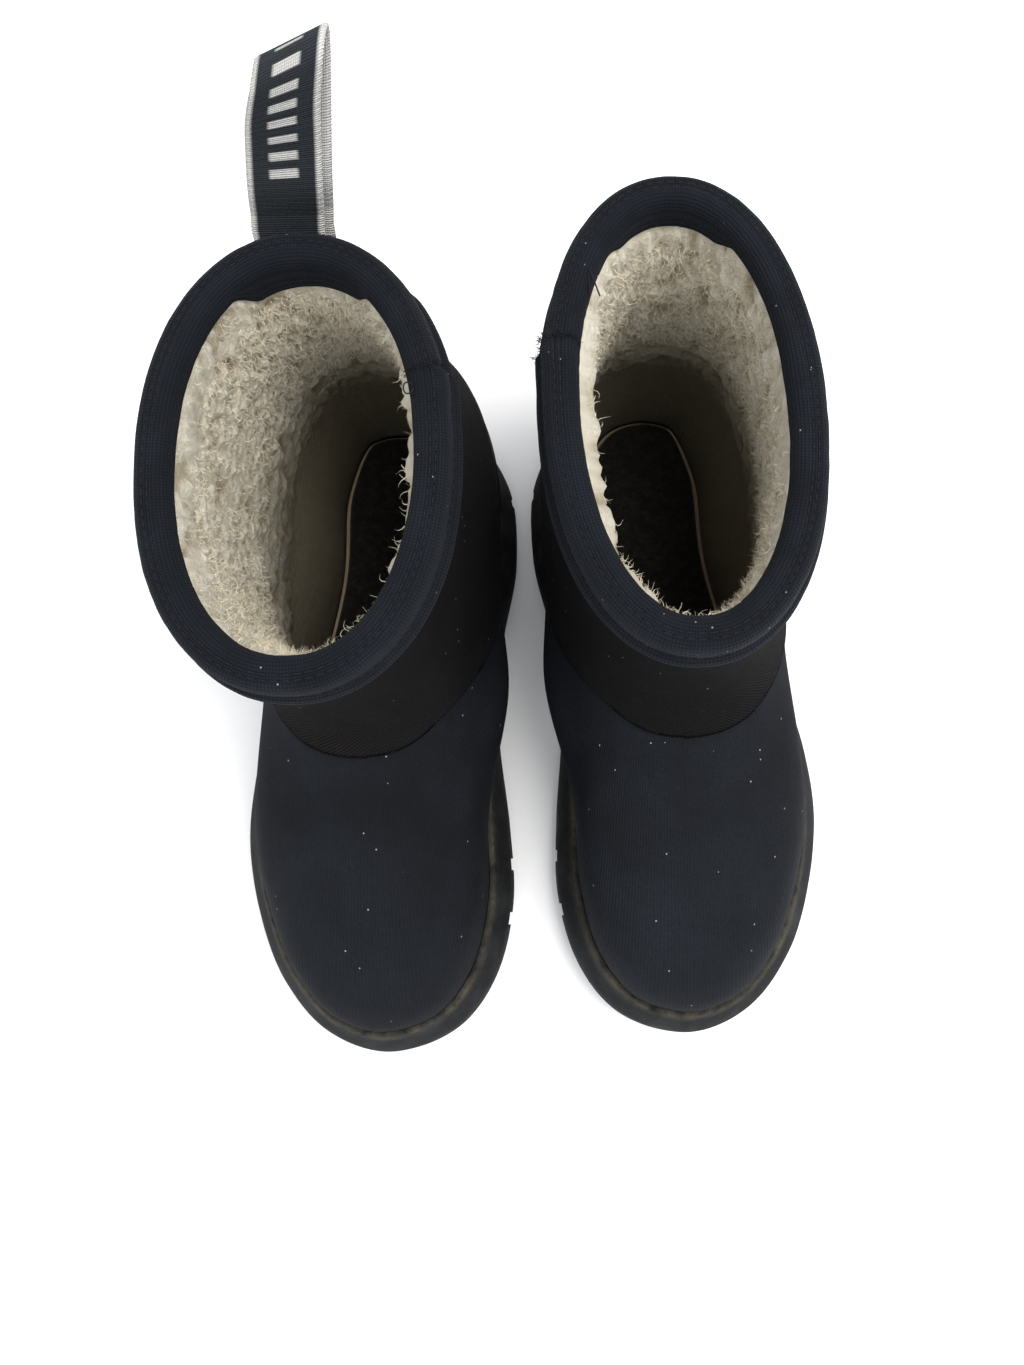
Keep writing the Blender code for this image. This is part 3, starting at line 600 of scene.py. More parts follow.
class Shader:
    """A Principled material that is put together from procedural nodes."""

    def __init__(self, name, roughness, sheen=0.0, sheen_tint=(1.0, 1.0, 1.0), specular=0.2, metallic=0.0):
        self.material = bpy.data.materials.new(name)
        self.material.use_nodes = True
        self.tree = self.material.node_tree
        self.shader = self.tree.nodes["Principled BSDF"]
        self.set("Roughness", roughness)
        self.set("Metallic", metallic)
        self.set("Specular IOR Level", specular)
        self.set("Sheen Weight", sheen)
        self.set("Sheen Roughness", 0.5)
        self.set("Sheen Tint", (*sheen_tint, 1.0))
        self.height = None

    def set(self, socket, value):
        """Sets a constant straight on a socket of the Principled node."""
        self.shader.inputs[socket].default_value = value

    def node(self, kind, **settings):
        made = self.tree.nodes.new(kind)
        for key, value in settings.items():
            setattr(made, key, value)
        return made

    def link(self, source, target):
        self.tree.links.new(source, target)

    def place(self, turn_deg=0.0, cloth=False):
        """Coordinates in metres: the cloth's own or the object's, turned."""
        if cloth:
            source = self.node("ShaderNodeUVMap", uv_map="cloth").outputs["UV"]
        else:
            source = self.node("ShaderNodeTexCoord").outputs["Object"]
        mapping = self.node("ShaderNodeMapping")
        mapping.inputs["Rotation"].default_value = (0.0, 0.0, math.radians(turn_deg))
        self.link(source, mapping.inputs["Vector"])
        return mapping.outputs["Vector"]

    def noise(self, scale, detail=3.0, rough=0.5):
        """Cloudy noise over the object's own coordinates."""
        made = self.node("ShaderNodeTexNoise")
        made.inputs["Scale"].default_value = scale
        made.inputs["Detail"].default_value = detail
        made.inputs["Roughness"].default_value = rough
        self.link(self.place(), made.inputs["Vector"])
        return made.outputs["Fac"]

    def wave(self, scale, place, distortion=0.0, direction="X"):
        """Bands like the ribs of a cloth."""
        made = self.node("ShaderNodeTexWave", bands_direction=direction)
        made.inputs["Scale"].default_value = scale
        made.inputs["Distortion"].default_value = distortion
        made.inputs["Detail"].default_value = 2.0
        self.link(place, made.inputs["Vector"])
        return made.outputs["Fac"]

    def specks(self, scale, size):
        """1 on sparse small dots and 0 elsewhere."""
        made = self.node("ShaderNodeTexVoronoi")
        made.inputs["Scale"].default_value = scale
        self.link(self.place(), made.inputs["Vector"])
        near = self.ramp(made.outputs["Distance"], size, size * SPECK_CORE)
        rare = self.ramp(self.red(made.outputs["Color"]), *SPECK_RARITY)
        return self.math("MULTIPLY", near, rare)

    def red(self, colour):
        made = self.node("ShaderNodeSeparateColor")
        self.link(colour, made.inputs["Color"])
        return made.outputs["Red"]

    def field(self, name):
        """The value that the piece holds per vertex under a name."""
        return self.node("ShaderNodeAttribute", attribute_name=name).outputs["Fac"]

    def math(self, operation, a, b):
        """One sum of two numbers or sockets."""
        made = self.node("ShaderNodeMath", operation=operation)
        for socket, value in zip(made.inputs, (a, b)):
            if isinstance(value, (int, float)):
                socket.default_value = value
            else:
                self.link(value, socket)
        return made.outputs["Value"]

    def ramp(self, source, low, high):
        """The source mapped so that low becomes 0 and high becomes 1."""
        made = self.node("ShaderNodeMapRange", clamp=True)
        made.inputs["From Min"].default_value = low
        made.inputs["From Max"].default_value = high
        self.link(source, made.inputs["Value"])
        return made.outputs["Result"]

    def mix(self, share, a, b):
        """Colour a where the share is 0 and b where it is 1."""
        made = self.node("ShaderNodeMix", data_type="RGBA")
        if isinstance(share, (int, float)):
            made.inputs["Factor"].default_value = share
        else:
            self.link(share, made.inputs["Factor"])
        for socket, value in ((made.inputs["A"], a), (made.inputs["B"], b)):
            if isinstance(value, tuple):
                socket.default_value = (*value, 1.0)
            else:
                self.link(value, socket)
        return made.outputs["Result"]

    def colour(self, source):
        self.link(source, self.shader.inputs["Base Color"])

    def bump(self, source, depth):
        """Adds relief of a depth in metres, on top of what is there already."""
        made = self.node("ShaderNodeBump")
        made.inputs["Distance"].default_value = depth
        made.inputs["Strength"].default_value = 1.0
        self.link(source, made.inputs["Height"])
        if self.height is not None:
            self.link(self.height, made.inputs["Normal"])
        self.height = made.outputs["Normal"]
        self.link(self.height, self.shader.inputs["Normal"])


def rubber():
    """Matt black rubber, scuffed grey, with pale dirt along the lip."""
    s = Shader("rubber", 0.80, specular=0.15)
    scuff = s.ramp(s.noise(55.0, 8.0, 0.65), 0.46, 0.72)
    base = s.mix(scuff, RUBBER, RUBBER_SCUFF)
    dirt = s.ramp(s.noise(160.0, 6.0, 0.7), 0.35, 0.60)
    lip = s.field("dirt")
    s.colour(s.mix(s.math("MULTIPLY", dirt, lip), base, LIP_DIRT))
    s.bump(s.noise(900.0, 4.0), 0.0002)
    s.bump(s.noise(120.0, 5.0), 0.0003)
    return s.material


def fine_cloth():
    """Dark brushed cloth with very fine ribs, faint blotches and white lint."""
    s = Shader("vamp_cloth", 0.82, specular=0.08)
    blotch = s.ramp(s.noise(13.0, 4.0, 0.6), 0.36, 0.66)
    fine = s.noise(1500.0, 3.0, 0.6)
    base = s.mix(s.math("MULTIPLY", blotch, s.ramp(fine, 0.2, 0.9)), VAMP_DARK, VAMP_LIGHT)
    ribs = s.wave(420.0, s.place(cloth=True), distortion=1.5)
    base = s.mix(s.math("MULTIPLY", ribs, RIB_SHOW), base, VAMP_RIB)
    s.colour(s.mix(s.specks(240.0, 0.085), base, LINT))
    s.bump(ribs, 0.00012)
    s.bump(fine, 0.00015)
    return s.material


def coated_panel():
    """Smooth rubber-coated cloth at the heel."""
    s = Shader("heel_panel", 0.55, specular=0.22)
    s.colour(s.mix(s.ramp(s.noise(40.0, 6.0, 0.6), 0.35, 0.75), PANEL_DARK, PANEL_LIGHT))
    s.bump(s.noise(1300.0, 3.0), 0.00012)
    s.bump(s.noise(90.0, 4.0), 0.0002)
    return s.material


def twill():
    """Worn black twill: fine diagonal ribs crossed by threads, with lint."""
    s = Shader("shaft_twill", 0.92, specular=0.06)
    ribs = s.wave(330.0, s.place(turn_deg=38.0, cloth=True), distortion=0.8)
    across = s.wave(520.0, s.place(turn_deg=-52.0, cloth=True), distortion=1.2)
    weave = s.math("MULTIPLY", ribs, s.ramp(across, -0.6, 1.0))
    worn = s.ramp(s.noise(30.0, 6.0, 0.65), 0.30, 0.75)
    share = s.math("MULTIPLY", weave, s.ramp(worn, -0.5, 1.0))
    base = s.mix(share, TWILL_DARK, TWILL_LIGHT)
    s.colour(s.mix(s.specks(260.0, 0.08), base, LINT))
    s.bump(weave, 0.0003)
    s.bump(s.noise(700.0, 4.0, 0.7), 0.0002)
    return s.material


def knit():
    """Ribbed knit tape, bluish black, with lines of loops along it."""
    s = Shader("knit_binding", 0.86, sheen=0.02, sheen_tint=(0.75, 0.82, 0.95), specular=0.08)
    along = s.wave(300.0, s.place(cloth=True), distortion=0.6, direction="Y")
    across = s.wave(360.0, s.place(cloth=True), distortion=1.0)
    weave = s.math("MULTIPLY", s.ramp(along, -0.4, 1.0), s.ramp(across, -0.6, 1.0))
    soil = s.ramp(s.noise(60.0, 6.0, 0.65), 0.30, 0.78)
    base = s.mix(s.math("MULTIPLY", weave, s.ramp(soil, -0.4, 1.0)), KNIT_DARK, KNIT_LIGHT)
    s.colour(s.mix(s.specks(260.0, 0.07), base, LINT))
    s.bump(weave, 0.0003)
    s.bump(s.noise(900.0, 3.0), 0.00015)
    return s.material


def pile(name):
    """Matted cream pile, with painted shade, darker and yellower, between the tufts and down in the boot."""
    s = Shader(name, 1.0, sheen=0.15, sheen_tint=(1.0, 0.97, 0.90), specular=0.03)
    tuft = s.field("tuft")
    low = s.field("depth")
    fuzz = s.noise(900.0, 5.0, 0.7)
    curl = s.noise(330.0, 6.0, 0.75)
    crest = s.math("ADD", s.math("MULTIPLY", tuft, 0.75), s.math("MULTIPLY", curl, 0.35))
    base = s.mix(s.ramp(crest, 0.30, 0.70), PILE_MIDDLE, PILE_LIGHT)
    # Painted shade: the pile darkens between the tufts, where the crest is low.
    base = s.mix(s.ramp(crest, 0.46, 0.16), base, PILE_CREVICE_SHADE)
    stain = s.ramp(s.noise(45.0, 4.0, 0.6), 0.50, 0.80)
    base = s.mix(s.math("MULTIPLY", stain, STAIN_SHOW), base, PILE_MIDDLE)
    # Painted shade: the pile darkens down in the boot, as the depth field gives.
    s.colour(s.mix(low, base, PILE_DEPTH_SHADE))
    s.bump(curl, 0.0022)
    s.bump(fuzz, 0.0009)
    return s.material


def felt():
    """Dark needled felt with grey lint."""
    s = Shader("felt", 1.0, sheen=0.2, specular=0.05)
    lint = s.ramp(s.noise(260.0, 8.0, 0.75), 0.45, 0.75)
    s.colour(s.mix(lint, FELT_DARK, FELT_LIGHT))
    s.bump(s.noise(600.0, 6.0, 0.7), 0.0008)
    return s.material


def webbing(name, dark, light):
    """Woven tape: fine cross ribs, and pale selvedges where the piece marks its edges."""
    s = Shader(name, 0.80, specular=0.25)
    ribs = s.wave(420.0, s.place(cloth=True), distortion=0.5, direction="Y")
    ends = s.wave(480.0, s.place(cloth=True), distortion=0.3)
    weave = s.math("MULTIPLY", ribs, s.ramp(ends, -0.8, 1.0))
    base = s.mix(weave, dark, light)
    pale = s.field("pale")
    s.colour(s.mix(s.math("MULTIPLY", pale, s.ramp(weave, -1.6, 1.0)), base, SELVEDGE))
    s.bump(weave, 0.00035)
    s.bump(s.noise(1300.0, 3.0), 0.0001)
    return s.material


def plain(name, colour, roughness, grain, depth, metallic=0.0, spread=1.6):
    """A simple finish with mottled colour and a fine grain."""
    s = Shader(name, roughness, metallic=metallic)
    light = tuple(min(1.0, c * spread) for c in colour)
    s.colour(s.mix(s.noise(grain / 4, 5.0, 0.6), colour, light))
    s.bump(s.noise(grain, 5.0, 0.6), depth)
    return s.material


# ---------------------------------------------------------------- sole

def add_field(obj, name, values):
    """A value per vertex, for the material to read."""
    field = obj.data.attributes.new(name, "FLOAT", "POINT")
    field.data.foreach_set("value", np.asarray(values, np.float32).ravel())


def boxes(corners):
    """Vertices and faces of axis-aligned boxes in boot coordinates, given as low and high corners."""
    order = [(0, 2, 3, 1), (4, 5, 7, 6), (0, 1, 5, 4), (2, 6, 7, 3), (0, 4, 6, 2), (1, 3, 7, 5)]
    points, faces = [], []
    for low, high in corners:
        start = len(points)
        span_x, span_y, span_z = zip(low, high)
        points += [(x, y, z) for z in span_z for y in span_y for x in span_x]
        faces += [tuple(start + i for i in f) for f in order]
    return np.array(points), faces


def edge_x(cols, direction, y):
    """Where the sole's widest line crosses y on its medial (+1) or lateral (-1) side."""
    side = cols.line[cols.line[:, 0] * direction > 0]
    side = side[np.argsort(side[:, 1])]
    return np.interp(y, side[:, 1], side[:, 0])


def cut(obj, cutter):
    """Takes the cutter's volume off the object for good."""
    modifier = obj.modifiers.new("cut", "BOOLEAN")
    modifier.operation = "DIFFERENCE"
    modifier.solver = "EXACT"
    modifier.object = cutter
    graph = bpy.context.evaluated_depsgraph_get()
    done = bpy.data.meshes.new_from_object(obj.evaluated_get(graph))
    obj.modifiers.clear()
    obj.data = done
    bpy.data.objects.remove(cutter)


# The side wall's section as inset and height, from the tread to where it starts to lean in.
SOLE_SECTION = [
    (TREAD_INSET + TREAD_CHAMFER, 0.0), (TREAD_INSET + 0.5, 0.5), (TREAD_INSET, TREAD_CHAMFER),
    (2.4, 5.0), (0.8, WIDEST_LOW), (0.2, 10.8), (0.0, 12.5), (0.3, 14.6), (1.0, WIDEST_HIGH + 3.0),
]
LEAN_STEPS = (0.35, 0.7, 0.92)
LEAN_RISE = 10.2
LIP_SECTION = [(0.0, 29.7), (0.5, 30.1), (1.2, 30.1), (LIP_WIDTH, 29.6)]
SOLE_COLUMNS = 256
SOLE_RELIEF = [(0.35, 30.0, 3, 11)]
DIRT_PATCHES = [(0.4, 18.0, 3, 12)]
DIRT_MEAN = 0.6
DIRT_BELOW_LIP = 0.35
CUT_ACROSS = 80.0
CUT_BELOW = 5.0
CUT_BESIDE = 20.0
SOLE_SHARP_DEG = 38


def make_outsole(side, made):
    """The cup sole, with its rounded lip and the dirt that gathers there."""
    cols = Columns(SOLE_COLUMNS)
    rows = [cols.sole(inset, z) for inset, z in SOLE_SECTION]
    inset, z = SOLE_SECTION[-1]
    rows += [cols.sole(inset + (cols.lip - inset) * t, z + LEAN_RISE * t) for t in LEAN_STEPS]
    lip = range(len(rows), len(rows) + len(LIP_SECTION))
    rows += [cols.sole(cols.lip + d, z) for d, z in LIP_SECTION]
    rows.append(cols.sole(cols.wall, CUP_FLOOR))
    rows = np.array(rows)
    above_tread = slice(3, -1)
    relief = relief_of(rows, SOLE_RELIEF)[above_tread]
    rows[above_tread] += relief[..., None] * np.column_stack([cols.out, np.zeros(cols.count)])
    obj = capped_grid(f"{side}_outsole_shell", side, rows, made)
    dirt = np.zeros(rows.shape[:2])
    dirt[lip.start - 1] = DIRT_BELOW_LIP
    dirt[lip] = DIRT_MEAN + relief_of(rows, DIRT_PATCHES)[lip]
    add_field(obj, "dirt", dirt)
    grooves = []
    for start, count in (FOREFOOT_GROOVES, HEEL_GROOVES):
        for k in range(count):
            low_y = start + k * GROOVE_PITCH - GROOVE_WIDTH / 2
            high_y = low_y + GROOVE_WIDTH
            grooves.append(((-CUT_ACROSS, low_y, -CUT_BELOW), (CUT_ACROSS, high_y, GROOVE_DEPTH)))
    for direction, y in SIDE_NICKS:
        x = edge_x(cols, direction, y)
        low_x, high_x = sorted((x - direction * NICK_DEPTH, x + direction * CUT_BESIDE))
        grooves.append(((low_x, y - NICK_WIDTH / 2, -CUT_BELOW), (high_x, y + NICK_WIDTH / 2, NICK_TOP)))
    cut(obj, make_mesh(f"{side}_groove_cutter", side, *boxes(grooves)))
    obj.data.set_sharp_from_angle(angle=math.radians(SOLE_SHARP_DEG))
    show(obj, f"{side}_boot", "sole_rubber", f"{side}_outsole")


# The felt's rounded edge as inset and height over its underside.
FOOTBED_EDGE = [
    (1.0, 0.0), (0.3, 0.3), (0.0, 1.0),
    (0.0, FOOTBED_THICKNESS - 1.2), (0.3, FOOTBED_THICKNESS - 0.4), (1.2, FOOTBED_THICKNESS),
]
FOOTBED_COLUMNS = 160
FOOTBED_SPINE = (50.0, 200.0)
FOOTBED_REACH = 0.97
FOOTBED_RINGS = 21
FELT_RELIEF = [(0.35, 9.0, 3, 21)]
FELT_SINK = 0.3
LINT_FIBRES = 260
LINT_FROM_ROW = 8
LINT_LIFT = 0.1
LINT_RISE = 0.35
LINT_LENGTH = (1.5, 4.5)


def make_footbed(side, made, lint):
    """The loose felt footbed, with lint lying on it."""
    cols = Columns(FOOTBED_COLUMNS)
    low = MIDSOLE_TOP + GAP + BOARD_THICKNESS + GAP
    inset = cols.wall + GAP + FOOT_LINING[1] + FOOTBED_CLEARANCE
    rows = [cols.sole(inset + d, low + z) for d, z in FOOTBED_EDGE]
    rim = rows[-1]
    spine = np.column_stack([np.zeros(cols.count), np.clip(rim[:, 1], *FOOTBED_SPINE), rim[:, 2]])
    rows += [rim + (spine - rim) * t for t in np.linspace(0, FOOTBED_REACH, FOOTBED_RINGS + 1)[1:]]
    rows = np.array(rows)
    face = len(FOOTBED_EDGE)
    rows[face:, :, 2] += relief_of(rows, FELT_RELIEF)[face:] - FELT_SINK
    obj = capped_grid(f"{side}_footbed_felt", side, rows, made)
    show(obj, f"{side}_footbed", "felt", f"{side}_footbed")
    rng = np.random.default_rng(31)
    free = (len(rows) - LINT_FROM_ROW) * cols.count
    spots = rng.choice(free, LINT_FIBRES, replace=False) + LINT_FROM_ROW * cols.count
    roots = rows.reshape(-1, 3)[spots] + (0.0, 0.0, LINT_LIFT)
    lean = np.column_stack([rng.normal(size=(LINT_FIBRES, 2)), np.full(LINT_FIBRES, LINT_RISE)])
    lengths = rng.uniform(*LINT_LENGTH, LINT_FIBRES)
    name = f"{side}_footbed_lint"
    fluff = strands(name, side, roots, lean, lengths, radius=0.07, curl=0.7, seed=32, made=lint)
    show(fluff, f"{side}_footbed", "felt")


# ---------------------------------------------------------------- upper

VAMP_RELIEF = [(0.45, 48.0, 3, 41), (0.08, 7.0, 2, 42)]
HEM_TUCK = 1.4
HEM_EARLY = 1.0
HEM_RUN = 1.5


def make_vamp(side, foot, made):
    """The foot's outer cloth, slightly uneven, its top edge tucked in under the shaft."""
    rows, normals = foot
    swell = relief_of(rows, VAMP_RELIEF)
    swell[:3] = 0.0
    _, up, _ = round_and_up(rows)
    swell -= HEM_TUCK * smooth((up - up[-1] + SEAM_HEM + HEM_EARLY) / HEM_RUN)
    outer = rows + swell[..., None] * normals
    inner = rows - VAMP_THICKNESS * normals
    obj = skin_piece(f"{side}_vamp_cloth", side, closed_skin(outer, inner), made)
    show(obj, f"{side}_boot", "vamp_cloth", f"{side}_vamp")


# The shaft stands proud of the vamp at its lap and settles back as it rises.
LAP = 1.2
LAP_STEPS = (1.0, 0.5)
LAP_EDGE = 0.55
LAP_CLEARANCE = 0.12
PROUD = 0.95
PROUD_LOSS = 0.75
PROUD_RUN = 26.0
SHAFT_RELIEF = [(0.55, 40.0, 3, 51), (0.10, 6.0, 2, 52)]
SEAM_FRAYS = 150
SEAM_FRAY_COLUMNS = 11.0
SEAM_FRAY_JITTER = 0.2
SEAM_FRAY_LENGTH = (0.6, 2.0)


def make_shaft(side, foot, shaft, made, thread):
    """The twill shaft, lapped over the vamp's top edge, with a few threads frayed from its tip."""
    down = unit(foot[0][-2] - shaft[0][0])
    rows = np.concatenate([[shaft[0][0] + LAP * t * down for t in LAP_STEPS], shaft[0]])
    normals = np.concatenate([[shaft[1][0]] * len(LAP_STEPS), shaft[1]])
    _, up, _ = round_and_up(rows)
    swell = PROUD - PROUD_LOSS * smooth(up / PROUD_RUN) + relief_of(rows, SHAFT_RELIEF)
    swell[0] = LAP_EDGE
    outer = rows + swell[..., None] * normals
    inner = rows - VAMP_THICKNESS * normals
    lap = slice(0, len(LAP_STEPS) + 1)
    inner[lap] = rows[lap] + LAP_CLEARANCE * normals[lap]
    obj = skin_piece(f"{side}_shaft_twill", side, closed_skin(outer, inner), made)
    show(obj, f"{side}_boot", "shaft_twill", f"{side}_shaft")
    rng = np.random.default_rng(53)
    columns = rng.normal(0.0, SEAM_FRAY_COLUMNS, SEAM_FRAYS).astype(int) % rows.shape[1]
    roots = outer[0, columns] + rng.normal(0, SEAM_FRAY_JITTER, (SEAM_FRAYS, 3))
    lean = down[columns] + 0.6 * rng.normal(size=(SEAM_FRAYS, 3)) + 0.25 * normals[0, columns]
    lengths = rng.uniform(*SEAM_FRAY_LENGTH, SEAM_FRAYS)
    name = f"{side}_seam_fray"
    frayed = strands(name, side, roots, lean, lengths, radius=0.13, curl=0.5, seed=54, made=thread)
    show(frayed, f"{side}_boot", "thread_black")


PANEL_SPAN = (9 / 28, 19 / 28)
PANEL_TOP_SHARE = 0.8
PANEL_FIRST_ROW = 3
PANEL_BEVEL = 2.5
PANEL_BACK = 0.3
PANEL_EDGE = 0.45
PANEL_SWELL = OVERLAY_HEIGHT - 0.5
PANEL_SHARP_DEG = 60


def make_overlay(side, foot, count, made):
    """The coated panel round the heel, thin at its edges."""
    rows, normals = foot
    low, high = PANEL_FIRST_ROW, round(PANEL_TOP_SHARE * (len(rows) - 3)) + 2
    first, last = (round(count * share) for share in PANEL_SPAN)
    face = rows[low:high, first:last + 1]
    out = normals[low:high, first:last + 1]
    height, width = face.shape[:2]
    near_side = np.minimum(np.arange(width), np.arange(width)[::-1])
    near_rim = np.minimum(np.arange(height), np.arange(height)[::-1])
    edge = smooth(np.minimum(near_rim[:, None], near_side[None]) / PANEL_BEVEL)
    outer = face + (PANEL_EDGE + PANEL_SWELL * edge)[..., None] * out
    inner = face + PANEL_BACK * out
    points = np.concatenate([outer.reshape(-1, 3), inner.reshape(-1, 3)])
    back = width * height
    faces = []
    for k in range(height - 1):
        for a in range(k * width, (k + 1) * width - 1):
            b = a + width
            faces.append((a, b, b + 1, a + 1))
            faces.append((back + a, back + a + 1, back + b + 1, back + b))
    number = np.arange(back).reshape(height, width)
    rim = np.concatenate([number[0, :-1], number[:-1, -1], number[-1, :0:-1], number[:0:-1, 0]])
    faces += [(a, b, back + b, back + a) for a, b in zip(rim, np.roll(rim, -1))]
    obj = make_mesh(f"{side}_heel_panel", side, points, faces, materials=[made])
    obj.data.set_sharp_from_angle(angle=math.radians(PANEL_SHARP_DEG))
    show(obj, f"{side}_boot", "heel_panel", f"{side}_heel_overlay")


# Sizes of the pile's locks, tufts and curls, and how much each counts in its relief, mm.
PLAIN_EVERY = 8
LOCK_SIZE = (5.0, 15.0)
LOCK_SWAY = 1.6
SWAY_CELL = 34.0
TUFT_CELL = 6.5
CURL_CELL = 2.3
LOCK_HEIGHT = 0.7
TUFT_HEIGHT = 0.9
CURL_HEIGHT = 0.9
RELIEF_SINK = 0.6
RELIEF_LOW = -1.6
RELIEF_SPAN = 3.2
INNER_PUFF = 1.6
# Painted shade darkens the pile below this height, over this run, mm.
PAINTED_SHADE_BELOW = 118.0
PAINTED_SHADE_RUN = 55.0

# The pile lies flat near the sole and under the binding, and thickens from the shaft down to the foot.
PILE_BLEND = 26.0
FOOT_PILE_RUN = 6.0
LOW_PILE = 0.2
LOW_PILE_TOP = 60.0
LOW_PILE_RUN = 18.0
FACING_MARGIN = 1.0
RELEASE_EARLY = 2.5
RELEASE_RUN = 4.0

FIBRES = 11000
FIBRES_ABOVE = 95.0
FIBRE_MARGIN = 0.5
FIBRE_FALL = 12.0
FIBRE_SHARE = 0.45
FIBRE_SPREAD = 0.9
FIBRE_LENGTH = (0.8, 3.0)


def pile_relief(rows, seed):
    """Height of the pile over a grid, in mm: matted locks, tufts and small curls. Roughly -1 to 1.6."""
    share, up, girth = round_and_up(rows)
    sway = LOCK_SWAY * layered_noise(rows, SWAY_CELL, 2, seed + 7)
    period = round(girth / LOCK_SIZE[0])
    locks = 1 - 2 * np.abs(value_noise(share * period + sway, up / LOCK_SIZE[1] + sway, period, seed))
    tufts = 1 - 2 * np.abs(layered_noise(rows, TUFT_CELL, 2, seed + 3))
    curls = layered_noise(rows, CURL_CELL, 2, seed + 5)
    return LOCK_HEIGHT * locks + TUFT_HEIGHT * tufts + CURL_HEIGHT * curls - RELIEF_SINK


def make_lining(side, part, face, depth_outer, depth_inner, room, made, seed):
    """One closed pile lining: plain towards the cloth, tufted towards the foot.

    room is 0 where the pile is held flat, as under the binding, and 1 where it stands free.
    """
    rows, normals = face
    relief = pile_relief(rows, seed)
    inner = rows - (depth_inner + (INNER_PUFF + relief) * room)[..., None] * normals
    outer = rows[::-PLAIN_EVERY] - depth_outer * normals[::-PLAIN_EVERY]
    obj = skin_piece(f"{side}_{part}_pile", side, np.concatenate([inner, outer])[::-1], made)
    # crest sets the pile's colour: painted shade where it is low, between the tufts.
    crest = np.clip((relief - RELIEF_LOW) / RELIEF_SPAN, 0, 1)
    # Painted shade down in the boot, held per vertex as depth.
    dark = smooth((PAINTED_SHADE_BELOW - rows[..., 2]) / PAINTED_SHADE_RUN)
    blank = np.zeros(outer.shape[:2])
    add_field(obj, "tuft", np.concatenate([crest, blank])[::-1])
    add_field(obj, "depth", np.concatenate([dark, blank])[::-1])
    show(obj, f"{side}_boot", "pile_lining", f"{side}_{part}_lining")
    return inner


def make_shaft_lining(side, cols, shaft, made, fibre):
    """Pile from the seam up to the binding, with the loose fibres on it."""
    _, up, _ = round_and_up(shaft[0])
    below_top = up[-1] - up
    extra, spread = FACING[side]
    from_back = np.abs(np.abs(cols.angle) - math.pi)
    covered = INNER_DROP + (extra + FACING_MARGIN) * smooth((spread - from_back) / FACING_END)
    room = smooth((below_top - covered + RELEASE_EARLY) / RELEASE_RUN)
    depth = SHAFT_LINING[1] + (FOOT_LINING[1] - SHAFT_LINING[1]) * smooth(1 - up / PILE_BLEND)
    medial = np.clip(np.sin(cols.angle), 0.0, 1.0)
    near_rim = np.exp(-(((below_top - RIM_PUFF_DROP) / RIM_PUFF_SPREAD) ** 2))
    depth = depth + RIM_PUFF[side] * medial * near_rim * room
    inner = make_lining(side, "shaft", shaft, SHAFT_LINING[0], depth, room, made, seed=91)
    free = below_top > covered + FIBRE_MARGIN
    make_fibres(side, inner, shaft[1], free, below_top - covered, fibre)


def make_foot_lining(side, foot, made):
    """Pile from the lasting board up to the seam."""
    rows = foot[0].copy()
    low = MIDSOLE_TOP + GAP + BOARD_THICKNESS + GAP
    rows[0, :, 2] = low
    rows[1, :, 2] = (low + LIP_HEIGHT) / 2
    _, up, _ = round_and_up(rows)
    low_room = LOW_PILE + (1 - LOW_PILE) * smooth((rows[..., 2] - LOW_PILE_TOP) / LOW_PILE_RUN)
    room = smooth(up / FOOT_PILE_RUN) * low_room
    depth = np.full(up.shape, FOOT_LINING[1])
    make_lining(side, "foot", (rows, foot[1]), FOOT_LINING[0], depth, room, made, seed=95)


def make_fibres(side, inner, normals, free, below_edge, made):
    """Loose fibres standing out of the shaft's pile, most of them along the binding."""
    rng = np.random.default_rng(71)
    row, column = np.nonzero(free & (inner[..., 2] > FIBRES_ABOVE))
    weight = np.exp(-below_edge[row, column] / FIBRE_FALL) + FIBRE_SHARE
    picked = rng.choice(len(row), FIBRES, replace=False, p=weight / weight.sum())
    row, column = row[picked], column[picked]
    lean = -normals[row, column] + FIBRE_SPREAD * rng.normal(size=(FIBRES, 3))
    lengths = rng.uniform(*FIBRE_LENGTH, FIBRES)
    name = f"{side}_pile_fibres"
    obj = strands(name, side, inner[row, column], lean, lengths, radius=0.13, curl=0.8, seed=72, made=made)
    show(obj, f"{side}_boot", "pile_lining")


# The binding's outer section as depth into the boot and height over the collar's top edge, from its
# lower outer fold, over the grooved crest, to its inner edge.
BINDING_SECTION = [
    (-0.3, -13.4), (-1.4, -14.9), (-3.0, -15.3), (-4.3, -14.6), (-4.7, -13.3), (-4.3, -12.0), (-3.3, -11.1),
    (-2.4, -10.5), (-2.2, -9.8), (-2.4, -8.4), (-2.5, -5.8), (-2.35, -3.2), (-1.95, -1.2), (-1.2, 0.4),
    (-0.1, 1.4), (0.9, 1.75), (1.25, 1.4), (1.6, 1.35), (1.95, 1.75), (2.4, 1.8), (2.75, 1.45), (3.1, 1.4),
    (3.5, 1.8), (4.6, 1.75), (5.8, 1.3), (6.8, 0.4), (7.4, -0.9), (7.7, -2.6),
]
# The lower ridge stands out past this depth, but not near the pull loop, as an angle from the back.
RIDGE_FROM = 1.8
RIDGE_FREE = 0.55
RIDGE_EASE = 0.2
BINDING_RELIEF = [(0.22, 22.0, 3, 81), (0.10, 4.0, 2, 82)]

# The butt seam's angle and step. The step is full outside, half inside, and lifts the tape a little.
BUTT_SEAM = {"right": 2.13, "left": 2.12}
BUTT_STEP = 0.9
BUTT_RUN = 0.30
BUTT_INSIDE = 0.5
BUTT_LIFT = 0.35

